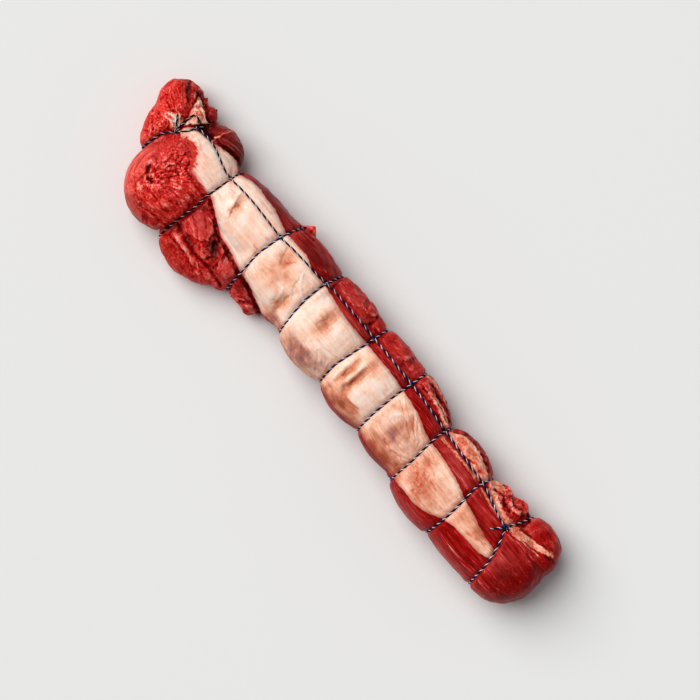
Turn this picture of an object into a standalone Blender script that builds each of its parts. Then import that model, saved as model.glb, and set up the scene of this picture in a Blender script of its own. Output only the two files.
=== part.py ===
"""A whole beef fillet, rolled and tied raw as a roasting joint.

One piece of meat, squeezed into bulges by one length of butcher's twine. Sizes are in
millimetres on a ruler that starts at the head's tip: x runs along the roll from the
thick head to the folded tail, y across it towards the chain muscle, z up from the board.
"""
import math

import bmesh
import bpy
import numpy as np
from mathutils import Vector
from mathutils.bvhtree import BVHTree

MM = 0.001
ROLL_MIDDLE = (258.0, -6.35)  # the ruler's x and y at the part's origin

# Every lobe of the meat: middle x, y, z, half sizes along x, y, z, and turn about z.
LOBES = {
    "head_tip": (28, 14, 19, 20, 36, 23, 18),
    "head_tip_nose": (16, 31, 20, 15, 16.5, 18, 0),
    "head_tip_far_side": (22, 38, 20, 14, 13, 17, 0),
    "head_tip_ragged_side": (43, 34, 21, 14, 14.5, 17, 0),
    "head_wing": (67, -18, 22, 37, 41, 30, 0),
    "head_main_muscle": (76, 9, 27, 44, 25, 31, 0),
    "head_dark_side": (71, 28, 22, 23, 20.5, 20, 0),
    "side_strap_upper": (132, -22, 22, 44, 21, 23, -4),
    "side_strap_lower": (122, -43, 16, 33, 18.5, 19, 9),
    "side_strap_end": (174, -22, 15, 29, 18, 17, 4),
    "side_strap_corner": (152, -33, 15, 17, 14, 15, 18),
    "middle_1": (138, 13, 27, 60, 28, 35, 0),
    "middle_2": (186, 10, 27, 62, 35, 35, 0),
    "middle_2_low": (199, -8, 22, 25, 22.5, 23, 0),
    "middle_3": (243, 3, 27, 48, 38, 35, 0),
    "middle_4": (296, 1, 27, 45, 37, 35, 0),
    "middle_5": (345, 0, 27, 51, 36, 34.5, 0),
    "middle_6": (401, -5, 27, 54, 40, 35, 0),
    "middle_7": (447, -8, 27, 66, 35, 34, 0),
    "chain_2": (190, 29, 24, 44, 15, 20, 0),
    "chain_3": (243, 31, 24, 42, 14.5, 20, 0),
    "chain_4": (297, 31, 24, 40, 14.5, 20, 0),
    "chain_5": (335, 29, 24, 37, 15, 20, -8),
    "chain_6": (395, 23, 25, 30, 16, 21, 0),
    "chain_7": (440, 19, 24, 22, 15, 20, 0),
    "chain_7_knob": (457, 23, 24, 13, 14, 18, 0),
    "tail": (479, -7, 27, 34, 35, 33, 0),
    "tail_end": (491, -6, 26, 23.5, 32, 29, 0),
    "tail_fold": (485, 26, 24, 23, 15.5, 21, 4),
    "tail_fold_end": (495, 18, 25, 18, 17, 23, 0),
    "ragged_point_right": (170, 37, 23, 8, 12, 6, 0),
    "ragged_point_left": (187, -30, 11, 7, 11, 7, 0),
    "ragged_point_strap": (121, -52, 14, 10, 11, 9, 0),
}
BLEND = 1.3  # how softly two lobes run into each other
MISS = 2.5  # how fast a lobe's reach falls away beside it

# Dips and ridges of the upper side: middle x and y, half length and half width, turn, height.
RELIEF = {
    "crag_of_the_tip": (34, 42, 17, 5, -17, -6),
    "crag_beside_the_fat": (47, 31, 9, 3.5, 10, -5),
    "slit_of_the_tip": (23, 40, 11, 2.5, -50, -3),
    "flap_of_fat": (38, 33, 5, 11, 35, 3),
    "pit_of_the_wing": (52, -28, 7, 4, -45, -5),
    "dip_of_the_wing": (66, -12, 7, 12, 15, -3),
    "rise_of_the_wing": (48, 0, 9, 11, 0, 2),
    "cut_of_the_wing": (80, -46, 17, 3, 14, -2.5),
    "cleft_of_the_strap": (128, -39, 32, 3, 0, -5),
    "dip_of_the_strap": (133, -27, 9, 5, -20, -4),
    "rise_of_the_strap": (153, -28, 8, 8, 0, 3),
    "seam_of_the_dark_side": (65, 39, 2.5, 11, -15, 1.5),
    "cleft_under_the_cap": (62, 31, 16, 2.5, 0, -3),
    "skin_dent_1": (121, 9, 3.5, 10, 15, -2.5),
    "skin_fold_1": (115, 12, 2.5, 8, 5, 1.2),
    "skin_dent_2": (177, 14, 6, 9, 0, -2.5),
    "skin_dent_2_low": (201, -12, 5, 11, -10, -3),
    "skin_dent_3": (238, 8, 7, 15, 0, -3),
    "skin_dent_3_low": (236, -23, 13, 6, 0, -2),
    "skin_dent_4": (279.5, -7, 3, 13, 0, -2.5),
    "skin_fold_4": (284, -4, 2, 14, 0, 1),
    "skin_dent_4_deep": (289.5, -5, 3.5, 13, 0, -3.5),
    "skin_dent_4_low": (300, -21, 12, 3, 0, -2),
    "skin_dent_5": (342, -10, 6, 9, 20, -2),
    "skin_fold_5": (336, 8, 2.5, 12, -40, 1.2),
    "furrow_beside_the_chain": (345, 30, 26, 3, -12, -3),
    "cleft_of_the_chain_3": (262, 36, 4, 7, 30, -2.5),
    "cleft_of_the_chain_5": (350, 35, 13, 2.5, -12, -2.5),
    "cleft_of_the_chain_6": (400, 24, 18, 3, -8, -3),
    "cleft_of_the_chain_7": (442, 19, 15, 2.5, -10, -2.5),
    "seam_of_the_tail": (482, 20, 18, 2.5, 12, -1.5),
}

RELIEF_FROM = 12.0  # the dips and ridges begin at this height above the board
RELIEF_FULL = 24.0  # and have their whole height from here up

# The line inside the meat that the surface is measured from: x, y, z.
SPINE = ((20, 15, 21), (45, 8, 22), (75, -2, 24), (130, -5, 25), (175, 3, 26), (215, 6, 27),
         (370, 4, 27), (430, -3, 27), (495, -1, 26))
HEAD_FAN = (27.0, 17.0, 21.0)  # the head's end is measured from this point
TAIL_FAN = (484.0, -1.0, 26.0)
HEAD_POLE = (-1.0, 0.42, 0.0)
TAIL_POLE = (1.0, 0.0, 0.0)

# The nine ties: x at each of these angles round the roll, 0 on the chain side and 90 on top.
TIE_ANGLES = (0, 60, 90, 120, 180, 270)
TIES = ((51, 45, 37.5, 31.5, 29, 40), (99, 97, 95.5, 96, 93.5, 96), (166, 160, 158.5, 160, 163, 164),
        (216.5, 212.3, 212, 214, 219.5, 217), (274, 271.5, 269.7, 268, 271.5, 272),
        (322, 319.3, 318.5, 318.7, 321.5, 322), (370, 366.5, 366.8, 368.5, 370, 370),
        (423.5, 418.3, 420, 421.5, 422, 422), (469, 459, 466, 472, 477, 475))
GROOVE_DEPTH = 2.4
GROOVE_WIDTH = 2.6
BOARD_LIFT = 4.2  # the meat is this far off the board under a tie
BOARD_LIFT_WIDTH = 4.0

# How finely the surface is divided: points in a ring, rings between two ties and at an end.
ROUND_STEPS = 40
BETWEEN_TIES = (0.0, 0.045, 0.12, 0.25, 0.41, 0.57, 0.73, 0.87, 0.955)
FAN_STEPS = 9

TWINE_RADIUS = 1.0
TWINE_GAP = 0.6  # between the twine and the meat
TWINE_CLEAR = TWINE_RADIUS + TWINE_GAP

# The long run of twine along the top, x and y, from the first tie to the last knot.
LONG_RUN = ((43.5, 24), (46, 27), (53, 28.5), (62, 29), (70, 28), (80, 25), (90, 22), (98, 21.5), (110, 23),
            (125, 23.5), (140, 23), (160, 22), (175, 24), (200, 25.5), (212, 27), (220, 28), (240, 28.5),
            (273, 28.5), (320, 28), (340, 27), (350, 26), (367, 25), (385, 23.5), (405, 22), (418, 21.5),
            (430, 19), (440, 16), (450, 13), (458, 12), (462, 11.5))
LONG_STEP = 4.6  # between the points of the long run
SHORT_STEP = 3.5  # between the points of a loose end
TIGHTENING = 40  # passes that pull the long run straight over the hollows
RUN_OVER_TIE = 0.8  # how far the long run's middle passes over a tie's
START_KNOT = (38.0, 12.0)
START_LOOP = ((38, 12.5), (37.3, 18), (37, 25), (37.5, 30.5), (40.5, 32.5), (44, 32), (45.5, 29))
START_END = ((37, 13.5), (33.5, 16.5), (30.5, 20), (28.5, 22))
LAST_KNOT = (458.5, 11.5)
LAST_END = ((457.5, 10.5), (455, 7.5), (453, 4.5), (451, 2))
KNOT_CLEARANCE = 1.0  # kept between the skin and the lowest turn of a knot
KNOT_LIFT = 2.2  # how far the runs rise into a knot
END_LIFT = 2.0  # how far a loose end stands up from the meat
KNOT_TURN_RADIUS = 1.7
KNOT_TURN_SLIDE = 1.1  # from the knot's middle to each of its two turns
KNOT_TURN_STEPS = 10
SKY = 200.0  # a height over everything, to look down from


def along_spine(x):
    """The spine's point at each x."""
    knots = np.array(SPINE, float)
    return np.stack([x, np.interp(x, knots[:, 0], knots[:, 1]),
                     np.interp(x, knots[:, 0], knots[:, 2])], axis=-1)


def tie_x(tie, angle):
    """Where a tie lies along the roll, at each angle round it."""
    return np.interp(np.degrees(angle), TIE_ANGLES, tie, period=360)


def lobe_reach(start, way, lobe):
    """How far a ray from start along way goes before it leaves the lobe, an ellipsoid."""
    turn = math.radians(lobe[6])
    cos, sin = math.cos(turn), math.sin(turn)
    into_lobe = np.array([[cos, sin, 0], [-sin, cos, 0], [0, 0, 1]]) / np.array(lobe[3:6])[:, None]
    p = (start - np.array(lobe[:3])) @ into_lobe.T
    d = way @ into_lobe.T
    a, b, c = (d * d).sum(-1), (p * d).sum(-1), (p * p).sum(-1) - 1
    inside = b * b - a * c
    return (-b + np.where(inside > 0, np.sqrt(np.abs(inside)), -MISS * np.sqrt(np.abs(inside)))) / a


def relief_height(x, y):
    """The sum of the dips and ridges at each x and y."""
    height = np.zeros_like(x)
    for middle_x, middle_y, half_x, half_y, turn, rise in RELIEF.values():
        cos, sin = math.cos(math.radians(turn)), math.sin(math.radians(turn))
        u = ((x - middle_x) * cos + (y - middle_y) * sin) / half_x
        v = ((y - middle_y) * cos - (x - middle_x) * sin) / half_y
        height = height + rise * np.exp(-u * u - v * v)
    return height


def meat_surface(start, way, angle):
    """The meat's skin along each ray: the furthest lobe, blended, cut by the ties and the board."""
    reaches = np.stack([lobe_reach(start, way, lobe) for lobe in LOBES.values()])
    furthest = reaches.max(0)
    reach = furthest + BLEND * np.log(np.exp((reaches - furthest) / BLEND).sum(0))
    skin = start + way * reach[..., None]
    upper_side = np.clip((skin[..., 2] - RELIEF_FROM) / (RELIEF_FULL - RELIEF_FROM), 0, 1)
    reach = reach + upper_side * relief_height(skin[..., 0], skin[..., 1])
    lift = np.zeros_like(reach)
    for tie in TIES:
        off = skin[..., 0] - tie_x(tie, angle)
        reach = reach - GROOVE_DEPTH * np.exp(-(off / GROOVE_WIDTH) ** 2)
        lift = np.maximum(lift, BOARD_LIFT * np.exp(-(off / BOARD_LIFT_WIDTH) ** 2))
    down = np.minimum(way[..., 2], -1e-6)
    reach = np.minimum(reach, (start[..., 2] - lift) / -down)
    return start + way * reach[..., None]


def square_ways(angle):
    """Rays square to the roll."""
    return np.stack([0 * angle, np.cos(angle), np.sin(angle)], -1)


def fan(tie, centre, pole, angle, share):
    """Rays of an end: from square to the roll at the tie, share 0, to the pole, share 1."""
    tilt = share * math.pi / 2
    way = square_ways(angle) * math.cos(tilt) + np.array(pole) * math.sin(tilt)
    way /= np.linalg.norm(way, axis=-1, keepdims=True)
    start = along_spine(tie_x(tie, angle))
    ease = math.sin(tilt)
    return start * (1 - ease) + np.array(centre) * ease, way


def meat_rows(angle):
    """Rings of skin points from the head's end to the tail's."""
    rows = []
    for step in range(1, FAN_STEPS + 1):
        start, way = fan(TIES[0], HEAD_FAN, HEAD_POLE, angle, 1 - step / (FAN_STEPS + 1))
        rows.append(meat_surface(start, way, angle))
    for first, second in zip(TIES[:-1], TIES[1:]):
        for share in BETWEEN_TIES:
            x = tie_x(first, angle) * (1 - share) + tie_x(second, angle) * share
            rows.append(meat_surface(along_spine(x), square_ways(angle), angle))
    for step in range(FAN_STEPS + 1):
        start, way = fan(TIES[-1], TAIL_FAN, TAIL_POLE, angle, step / (FAN_STEPS + 1))
        rows.append(meat_surface(start, way, angle))
    return np.array(rows)


def pole_point(centre, pole):
    """The skin's last point at an end of the roll."""
    way = np.array([pole]) / np.linalg.norm(pole)
    return meat_surface(np.array([centre]), way, np.zeros(1))[0]


def place(points):
    """From the ruler to the part's own frame, in metres."""
    return (np.asarray(points) - np.array([*ROLL_MIDDLE, 0])) * MM


def material(name, colour, roughness):
    """A plain finish: its colour, linear, and its roughness."""
    made = bpy.data.materials.new(name)
    made.use_nodes = True
    shader = made.node_tree.nodes["Principled BSDF"]
    shader.inputs["Base Color"].default_value = (*colour, 1)
    shader.inputs["Roughness"].default_value = roughness
    return made


def make_meat(collection, rows):
    """The meat: rings of skin points, lofted and closed at both ends."""
    bm = bmesh.new()
    rings = [[bm.verts.new(p) for p in row] for row in place(rows)]
    head = bm.verts.new(place(pole_point(HEAD_FAN, HEAD_POLE)))
    tail = bm.verts.new(place(pole_point(TAIL_FAN, TAIL_POLE)))
    for one, other in zip(rings[:-1], rings[1:]):
        for i in range(ROUND_STEPS):
            j = (i + 1) % ROUND_STEPS
            bm.faces.new((one[i], one[j], other[j], other[i]))
    for i in range(ROUND_STEPS):
        j = (i + 1) % ROUND_STEPS
        bm.faces.new((rings[0][j], rings[0][i], head))
        bm.faces.new((rings[-1][i], rings[-1][j], tail))
    bmesh.ops.triangulate(bm, faces=bm.faces)
    bmesh.ops.recalc_face_normals(bm, faces=bm.faces)
    mesh = bpy.data.meshes.new("beef_fillet")
    bm.to_mesh(mesh)
    bm.free()
    mesh.shade_smooth()
    mesh.materials.append(material("raw_beef", (0.42, 0.05, 0.04), 0.4))
    meat = bpy.data.objects.new("beef_fillet", mesh)
    collection.objects.link(meat)
    return meat


def clear_height(distance):
    """How high the twine's middle stays over skin at this distance beside it."""
    return np.sqrt(np.maximum(TWINE_CLEAR ** 2 - distance ** 2, 0))


def tie_route(before, groove, after, angle):
    """A tie's middle line: pulled tight round the groove's ring, clear of the rings beside it.

    The hull holds how far the twine reaches in each facing, square to the roll. A point of
    the route is where its ray from the spine meets the nearest of the hull's straight sides.
    """
    facing = square_ways(np.radians(np.arange(0, 360, 0.5)))[:, 1:].T
    hull = np.full(facing.shape[1], -np.inf)
    for beside in (before, after):
        for share in (0, 0.2, 0.4, 0.6):
            ring = groove + (beside - groove) * share
            clear = clear_height(np.abs(ring[:, 0] - groove[:, 0]))
            hull = np.maximum(hull, (ring[:, 1:] @ facing + clear[:, None]).max(0))
    start = along_spine(groove[:, 0])[:, 1:]
    way = square_ways(angle)[:, 1:]
    towards = way @ facing
    room = np.where(towards > 0.05, (hull - start @ facing) / np.maximum(towards, 0.05), np.inf)
    return np.column_stack([groove[:, 0], start + way * room.min(1)[:, None]])


def rest_height(x, y, skin):
    """The height of the twine's middle where it lies on the meat and bridges the grooves."""
    beside = [(0.0, 0.0)]
    for distance in (0.375 * TWINE_CLEAR, 0.75 * TWINE_CLEAR):
        for turn in np.radians(np.arange(0, 360, 45)):
            beside.append((distance * math.cos(turn), distance * math.sin(turn)))
    for distance in (-1.5 * TWINE_CLEAR, 1.5 * TWINE_CLEAR):
        beside += [(distance, 0.0), (0.0, distance)]
    height = -math.inf
    for dx, dy in beside:
        hit = skin.ray_cast(Vector(place((x + dx, y + dy, SKY))), Vector((0, 0, -1)))[0]
        height = max(height, hit.z / MM + clear_height(math.hypot(dx, dy)))
    return height


def laid_route(route, skin, step, lift=(0, 0), ties=()):
    """A run of twine lying on the meat and over the ties, from x and y points.

    Lift is its height over the skin at its start and at its end.
    """
    flat = [np.array(route[:1], float)]
    for start, end in zip(np.array(route[:-1], float), np.array(route[1:], float)):
        pieces = math.ceil(np.linalg.norm(end - start) / step)
        flat.append(start + (end - start) * np.arange(1, pieces + 1)[:, None] / pieces)
    flat = np.concatenate(flat)
    height = np.array([rest_height(x, y, skin) for x, y in flat])
    height += np.linspace(lift[0], lift[1], len(flat))
    held = {}
    for tie in ties:
        upper = tie[tie[:, 2] > SPINE[0][2]]
        upper = upper[np.argsort(upper[:, 1])]
        crossing = np.abs(flat[:, 0] - np.interp(flat[:, 1], upper[:, 1], upper[:, 0])).argmin()
        held[crossing] = np.interp(flat[crossing, 1], upper[:, 1], upper[:, 2]) + RUN_OVER_TIE
    for _ in range(TIGHTENING if held else 0):
        height[list(held)] = list(held.values())
        height[1:-1] = np.maximum(height[1:-1], (height[:-2] + height[2:]) / 2)
        height[list(held)] = list(held.values())
    return np.column_stack([flat, height])


def tube(collection, name, route, closed=False):
    """A length of twine as a closed mesh: a six-sided round bevel along a route."""
    curve = bpy.data.curves.new(name, "CURVE")
    curve.dimensions = "3D"
    curve.bevel_depth = TWINE_RADIUS * MM
    curve.bevel_resolution = 1
    curve.use_fill_caps = True
    spline = curve.splines.new("POLY")
    spline.points.add(len(route) - 1)
    spline.points.foreach_set("co", np.column_stack([place(route), np.ones(len(route))]).ravel())
    spline.use_cyclic_u = closed
    guide = bpy.data.objects.new(name + "_guide", curve)
    collection.objects.link(guide)
    graph = bpy.context.evaluated_depsgraph_get()
    mesh = bpy.data.meshes.new_from_object(guide.evaluated_get(graph))
    bm = bmesh.new()
    bm.from_mesh(mesh)
    bmesh.ops.remove_doubles(bm, verts=bm.verts, dist=0.01 * MM)
    bmesh.ops.recalc_face_normals(bm, faces=bm.faces)
    bm.to_mesh(mesh)
    bm.free()
    made = bpy.data.objects.new(name, mesh)
    collection.objects.link(made)
    bpy.data.objects.remove(guide)
    bpy.data.curves.remove(curve)
    return made


def knot_turns(collection, name, middle, skin, facing):
    """The tight turns of a knot: two short rings of twine round the run they hold."""
    angle = np.arange(KNOT_TURN_STEPS) * 2 * math.pi / KNOT_TURN_STEPS
    height = rest_height(*middle, skin) + KNOT_TURN_RADIUS + KNOT_CLEARANCE
    cos, sin = math.cos(math.radians(facing)), math.sin(math.radians(facing))
    across = KNOT_TURN_RADIUS * np.cos(angle)
    for turn, slide in enumerate((-KNOT_TURN_SLIDE, KNOT_TURN_SLIDE)):
        ring = np.column_stack([middle[0] + slide * cos - across * sin,
                                middle[1] + slide * sin + across * cos,
                                height + KNOT_TURN_RADIUS * np.sin(angle)])
        tube(collection, f"{name}_{turn}", ring, closed=True)


def make_twine(collection, meat, rows, angle):
    """The twine: nine ties, the long run over them, two knots and their loose ends, joined."""
    lengths = bpy.data.collections.new("twine_lengths")
    bpy.context.scene.collection.children.link(lengths)
    skin = BVHTree.FromPolygons([v.co for v in meat.data.vertices],
                                [p.vertices[:] for p in meat.data.polygons])
    grooves = [FAN_STEPS + number * len(BETWEEN_TIES) for number in range(len(TIES))]
    ties = [tie_route(*rows[row - 1:row + 2], angle) for row in grooves]
    first = tube(collection, "twine", ties[0], closed=True)
    for number, tie in enumerate(ties[1:], 2):
        tube(lengths, f"tie_{number}", tie, closed=True)
    tube(lengths, "long_run", laid_route(LONG_RUN, skin, LONG_STEP, ties=ties))
    tube(lengths, "start_loop", laid_route(START_LOOP, skin, SHORT_STEP, (KNOT_LIFT, 0)))
    tube(lengths, "start_end", laid_route(START_END, skin, SHORT_STEP, (KNOT_LIFT, END_LIFT)))
    tube(lengths, "last_end", laid_route(LAST_END, skin, SHORT_STEP, (KNOT_LIFT, END_LIFT)))
    knot_turns(lengths, "start_knot", START_KNOT, skin, 70)
    knot_turns(lengths, "last_knot", LAST_KNOT, skin, 60)
    join = first.modifiers.new("join", "BOOLEAN")
    join.operation = "UNION"
    join.operand_type = "COLLECTION"
    join.collection = lengths
    join.solver = "EXACT"
    graph = bpy.context.evaluated_depsgraph_get()
    joined = bpy.data.meshes.new_from_object(first.evaluated_get(graph))
    first.modifiers.clear()
    first.data = joined
    for piece in list(lengths.objects):
        bpy.data.objects.remove(piece)
    bpy.data.collections.remove(lengths)
    joined.shade_smooth()
    joined.materials.clear()
    joined.materials.append(material("butchers_twine", (0.05, 0.06, 0.14), 0.8))


def main():
    """Clears the scene and makes the meat, then the twine round it."""
    for old in list(bpy.data.objects):
        bpy.data.objects.remove(old)
    collection = bpy.data.collections.new("tied_beef_fillet")
    bpy.context.scene.collection.children.link(collection)
    angle = np.arange(ROUND_STEPS) * 2 * math.pi / ROUND_STEPS
    rows = meat_rows(angle)
    meat = make_meat(collection, rows)
    make_twine(collection, meat, rows, angle)


main()
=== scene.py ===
import math

import bpy
import numpy as np
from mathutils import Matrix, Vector
from mathutils.bvhtree import BVHTree


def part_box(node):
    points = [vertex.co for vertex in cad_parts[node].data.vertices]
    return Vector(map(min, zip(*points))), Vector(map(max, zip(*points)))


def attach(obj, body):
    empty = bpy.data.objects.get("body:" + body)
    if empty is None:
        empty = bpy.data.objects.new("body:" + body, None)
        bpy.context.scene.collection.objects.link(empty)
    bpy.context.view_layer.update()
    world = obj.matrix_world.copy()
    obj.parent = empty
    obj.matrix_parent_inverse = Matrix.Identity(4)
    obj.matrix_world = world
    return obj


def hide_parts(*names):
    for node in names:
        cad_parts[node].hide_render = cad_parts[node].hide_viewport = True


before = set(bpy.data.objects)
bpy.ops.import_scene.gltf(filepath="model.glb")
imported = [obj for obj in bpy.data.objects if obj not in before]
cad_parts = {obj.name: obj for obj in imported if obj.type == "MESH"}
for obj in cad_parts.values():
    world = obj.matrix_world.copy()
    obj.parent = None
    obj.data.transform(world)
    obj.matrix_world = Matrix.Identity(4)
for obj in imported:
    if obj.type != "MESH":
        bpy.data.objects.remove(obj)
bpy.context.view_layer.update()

# The fillet's form
# A whole beef tenderloin, squeezed into bulges by nine ties. Its skin is met by rays from a
# line inside the meat: the furthest of a set of blended lobes, cut by the ties and the floor.
# Sizes are in millimetres: x from the head's tip, y towards the chain's side, z up from the floor.
MM = 0.001
ROLL_MIDDLE = (258.0, -6.35)  # x and y of the part's own origin

# Lobes of muscle: middle x, y and z, half sizes along them, and a turn about z in degrees.
LOBES = {
    "head_tip": (28, 14, 19, 20, 36, 23, 18),
    "head_tip_nose": (16, 31, 20, 15, 16.5, 18, 0),
    "head_tip_far_side": (22, 38, 20, 14, 13, 17, 0),
    "head_tip_ragged_side": (43, 34, 21, 14, 14.5, 17, 0),
    "head_wing": (67, -18, 22, 37, 41, 30, 0),
    "head_main_muscle": (76, 9, 27, 44, 25, 31, 0),
    "head_dark_side": (71, 28, 22, 23, 20.5, 20, 0),
    "side_strap_upper": (132, -22, 22, 44, 21, 23, -4),
    "side_strap_lower": (122, -43, 16, 33, 18.5, 19, 9),
    "side_strap_end": (174, -22, 15, 29, 18, 17, 4),
    "side_strap_corner": (152, -33, 15, 17, 14, 15, 18),
    "middle_1": (138, 13, 27, 60, 28, 35, 0),
    "middle_2": (186, 10, 27, 62, 35, 35, 0),
    "middle_2_low": (199, -8, 22, 25, 22.5, 23, 0),
    "middle_3": (243, 3, 27, 48, 38, 35, 0),
    "middle_4": (296, 1, 27, 45, 37, 35, 0),
    "middle_5": (345, 0, 27, 51, 36, 34.5, 0),
    "middle_6": (401, -5, 27, 54, 40, 35, 0),
    "middle_7": (447, -8, 27, 66, 35, 34, 0),
    "chain_2": (190, 29, 24, 44, 15, 20, 0),
    "chain_3": (243, 31, 24, 42, 14.5, 20, 0),
    "chain_4": (297, 31, 24, 40, 14.5, 20, 0),
    "chain_5": (335, 29, 24, 37, 15, 20, -8),
    "chain_6": (395, 23, 25, 30, 16, 21, 0),
    "chain_7": (440, 19, 24, 22, 15, 20, 0),
    "chain_7_knob": (457, 23, 24, 13, 14, 18, 0),
    "tail": (479, -7, 27, 34, 35, 33, 0),
    "tail_end": (491, -6, 26, 23.5, 32, 29, 0),
    "tail_fold": (485, 26, 24, 23, 15.5, 21, 4),
    "tail_fold_end": (495, 18, 25, 18, 17, 23, 0),
    "ragged_point_right": (170, 37, 23, 8, 12, 6, 0),
    "ragged_point_left": (187, -30, 11, 7, 11, 7, 0),
    "ragged_point_strap": (121, -52, 14, 10, 11, 9, 0),
}
BLEND = 1.3  # how softly one lobe runs into the next
MISS = 2.5  # how fast a lobe drops out of the blend where a ray goes past it

# Broad dips and ridges of the upper side: middle x and y, half sizes, turn and rise.
RELIEF = {
    "crag_of_the_tip": (34, 42, 17, 5, -17, -6),
    "crag_beside_the_fat": (47, 31, 9, 3.5, 10, -5),
    "slit_of_the_tip": (23, 40, 11, 2.5, -50, -3),
    "flap_of_fat": (38, 33, 5, 11, 35, 3),
    "pit_of_the_wing": (52, -28, 7, 4, -45, -5),
    "dip_of_the_wing": (66, -12, 7, 12, 15, -3),
    "rise_of_the_wing": (48, 0, 9, 11, 0, 2),
    "cut_of_the_wing": (80, -46, 17, 3, 14, -2.5),
    "cleft_of_the_strap": (128, -39, 32, 3, 0, -5),
    "dip_of_the_strap": (133, -27, 9, 5, -20, -4),
    "rise_of_the_strap": (153, -28, 8, 8, 0, 3),
    "seam_of_the_dark_side": (65, 39, 2.5, 11, -15, 1.5),
    "cleft_under_the_cap": (62, 31, 16, 2.5, 0, -3),
    "skin_dent_1": (121, 9, 3.5, 10, 15, -2.5),
    "skin_fold_1": (115, 12, 2.5, 8, 5, 1.2),
    "skin_dent_2": (177, 14, 6, 9, 0, -2.5),
    "skin_dent_2_low": (201, -12, 5, 11, -10, -3),
    "skin_dent_3": (238, 8, 7, 15, 0, -3),
    "skin_dent_3_low": (236, -23, 13, 6, 0, -2),
    "skin_dent_4": (279.5, -7, 3, 13, 0, -2.5),
    "skin_fold_4": (284, -4, 2, 14, 0, 1),
    "skin_dent_4_deep": (289.5, -5, 3.5, 13, 0, -3.5),
    "skin_dent_4_low": (300, -21, 12, 3, 0, -2),
    "skin_dent_5": (342, -10, 6, 9, 20, -2),
    "skin_fold_5": (336, 8, 2.5, 12, -40, 1.2),
    "furrow_beside_the_chain": (345, 30, 26, 3, -12, -3),
    "cleft_of_the_chain_3": (262, 36, 4, 7, 30, -2.5),
    "cleft_of_the_chain_5": (350, 35, 13, 2.5, -12, -2.5),
    "cleft_of_the_chain_6": (400, 24, 18, 3, -8, -3),
    "cleft_of_the_chain_7": (442, 19, 15, 2.5, -10, -2.5),
    "seam_of_the_tail": (482, 20, 18, 2.5, 12, -1.5),
}
RELIEF_FROM = 12.0  # the height at which the dips and ridges begin to show
RELIEF_FULL = 24.0
RELIEF_BEND = 2.2  # how far noise pushes them about, so that none is an oval
RELIEF_BEND_SIZE = 9  # from one such bend to the next

# The line that the rays start from, and the points and poles that they fan towards at the ends.
SPINE = ((20, 15, 21), (45, 8, 22), (75, -2, 24), (130, -5, 25), (175, 3, 26), (215, 6, 27),
         (370, 4, 27), (430, -3, 27), (495, -1, 26))
HEAD_FAN = (27.0, 17.0, 21.0)
TAIL_FAN = (484.0, -1.0, 26.0)
HEAD_POLE = (-1.0, 0.42, 0.0)
TAIL_POLE = (1.0, 0.0, 0.0)

# Each tie's place along the roll at these angles, from the chain's side up over the top.
TIE_ANGLES = (0, 60, 90, 120, 180, 270)
TIES = ((51, 45, 37.5, 31.5, 29, 40), (99, 97, 95.5, 96, 93.5, 96), (166, 160, 158.5, 160, 163, 164),
        (216.5, 212.3, 212, 214, 219.5, 217), (274, 271.5, 269.7, 268, 271.5, 272),
        (322, 319.3, 318.5, 318.7, 321.5, 322), (370, 366.5, 366.8, 368.5, 370, 370),
        (423.5, 418.3, 420, 421.5, 422, 422), (469, 459, 466, 472, 477, 475))
GROOVE_DEPTH = 2.4
GROOVE_WIDTH = 2.6
FLOOR_LIFT = 4.2  # how far each tie holds the underside off the floor
FLOOR_LIFT_WIDTH = 4.0

LATTICE = 256
NOISE_GAIN = 1.6  # brings the noise to about one each way
lattice_draw = np.random.default_rng(11)
LATTICE_ORDER = lattice_draw.permutation(LATTICE)
LATTICE_SLOPES = lattice_draw.normal(size=(LATTICE, 3))
LATTICE_SLOPES /= np.linalg.norm(LATTICE_SLOPES, axis=1, keepdims=True)


def noise(points):
    """Smooth lumps one unit wide: slopes at the corners of a lattice, eased by 6t^5 - 15t^4 + 10t^3."""
    cell = np.floor(points).astype(int)
    part = points - cell
    ease = part ** 3 * (part * (part * 6 - 15) + 10)
    total = np.zeros(points.shape[:-1])
    for corner in np.ndindex(2, 2, 2):
        at = (cell + corner) % LATTICE
        key = LATTICE_ORDER[(at[..., 0] + LATTICE_ORDER[(at[..., 1] + LATTICE_ORDER[at[..., 2]]) % LATTICE])
                            % LATTICE]
        weight = np.where(np.array(corner) == 1, ease, 1 - ease).prod(-1)
        total += weight * (LATTICE_SLOPES[key] * (part - corner)).sum(-1)
    return NOISE_GAIN * total


def along_spine(x):
    """The spine's point at each x."""
    knots = np.array(SPINE, float)
    return np.stack([x, np.interp(x, knots[:, 0], knots[:, 1]),
                     np.interp(x, knots[:, 0], knots[:, 2])], axis=-1)


def tie_x(tie, angle):
    """Where a tie lies along the roll, at each angle round it."""
    return np.interp(np.degrees(angle), TIE_ANGLES, tie, period=360)


def lobe_reach(start, way, lobe):
    """How far a ray goes before it leaves an ellipsoid: the larger root of |p + t d|^2 = 1."""
    turn = math.radians(lobe[6])
    cos, sin = math.cos(turn), math.sin(turn)
    into_lobe = np.array([[cos, sin, 0], [-sin, cos, 0], [0, 0, 1]]) / np.array(lobe[3:6])[:, None]
    p = (start - np.array(lobe[:3])) @ into_lobe.T
    d = way @ into_lobe.T
    a, b, c = (d * d).sum(-1), (p * d).sum(-1), (p * p).sum(-1) - 1
    inside = b * b - a * c
    return (-b + np.where(inside > 0, np.sqrt(np.abs(inside)), -MISS * np.sqrt(np.abs(inside)))) / a


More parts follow.
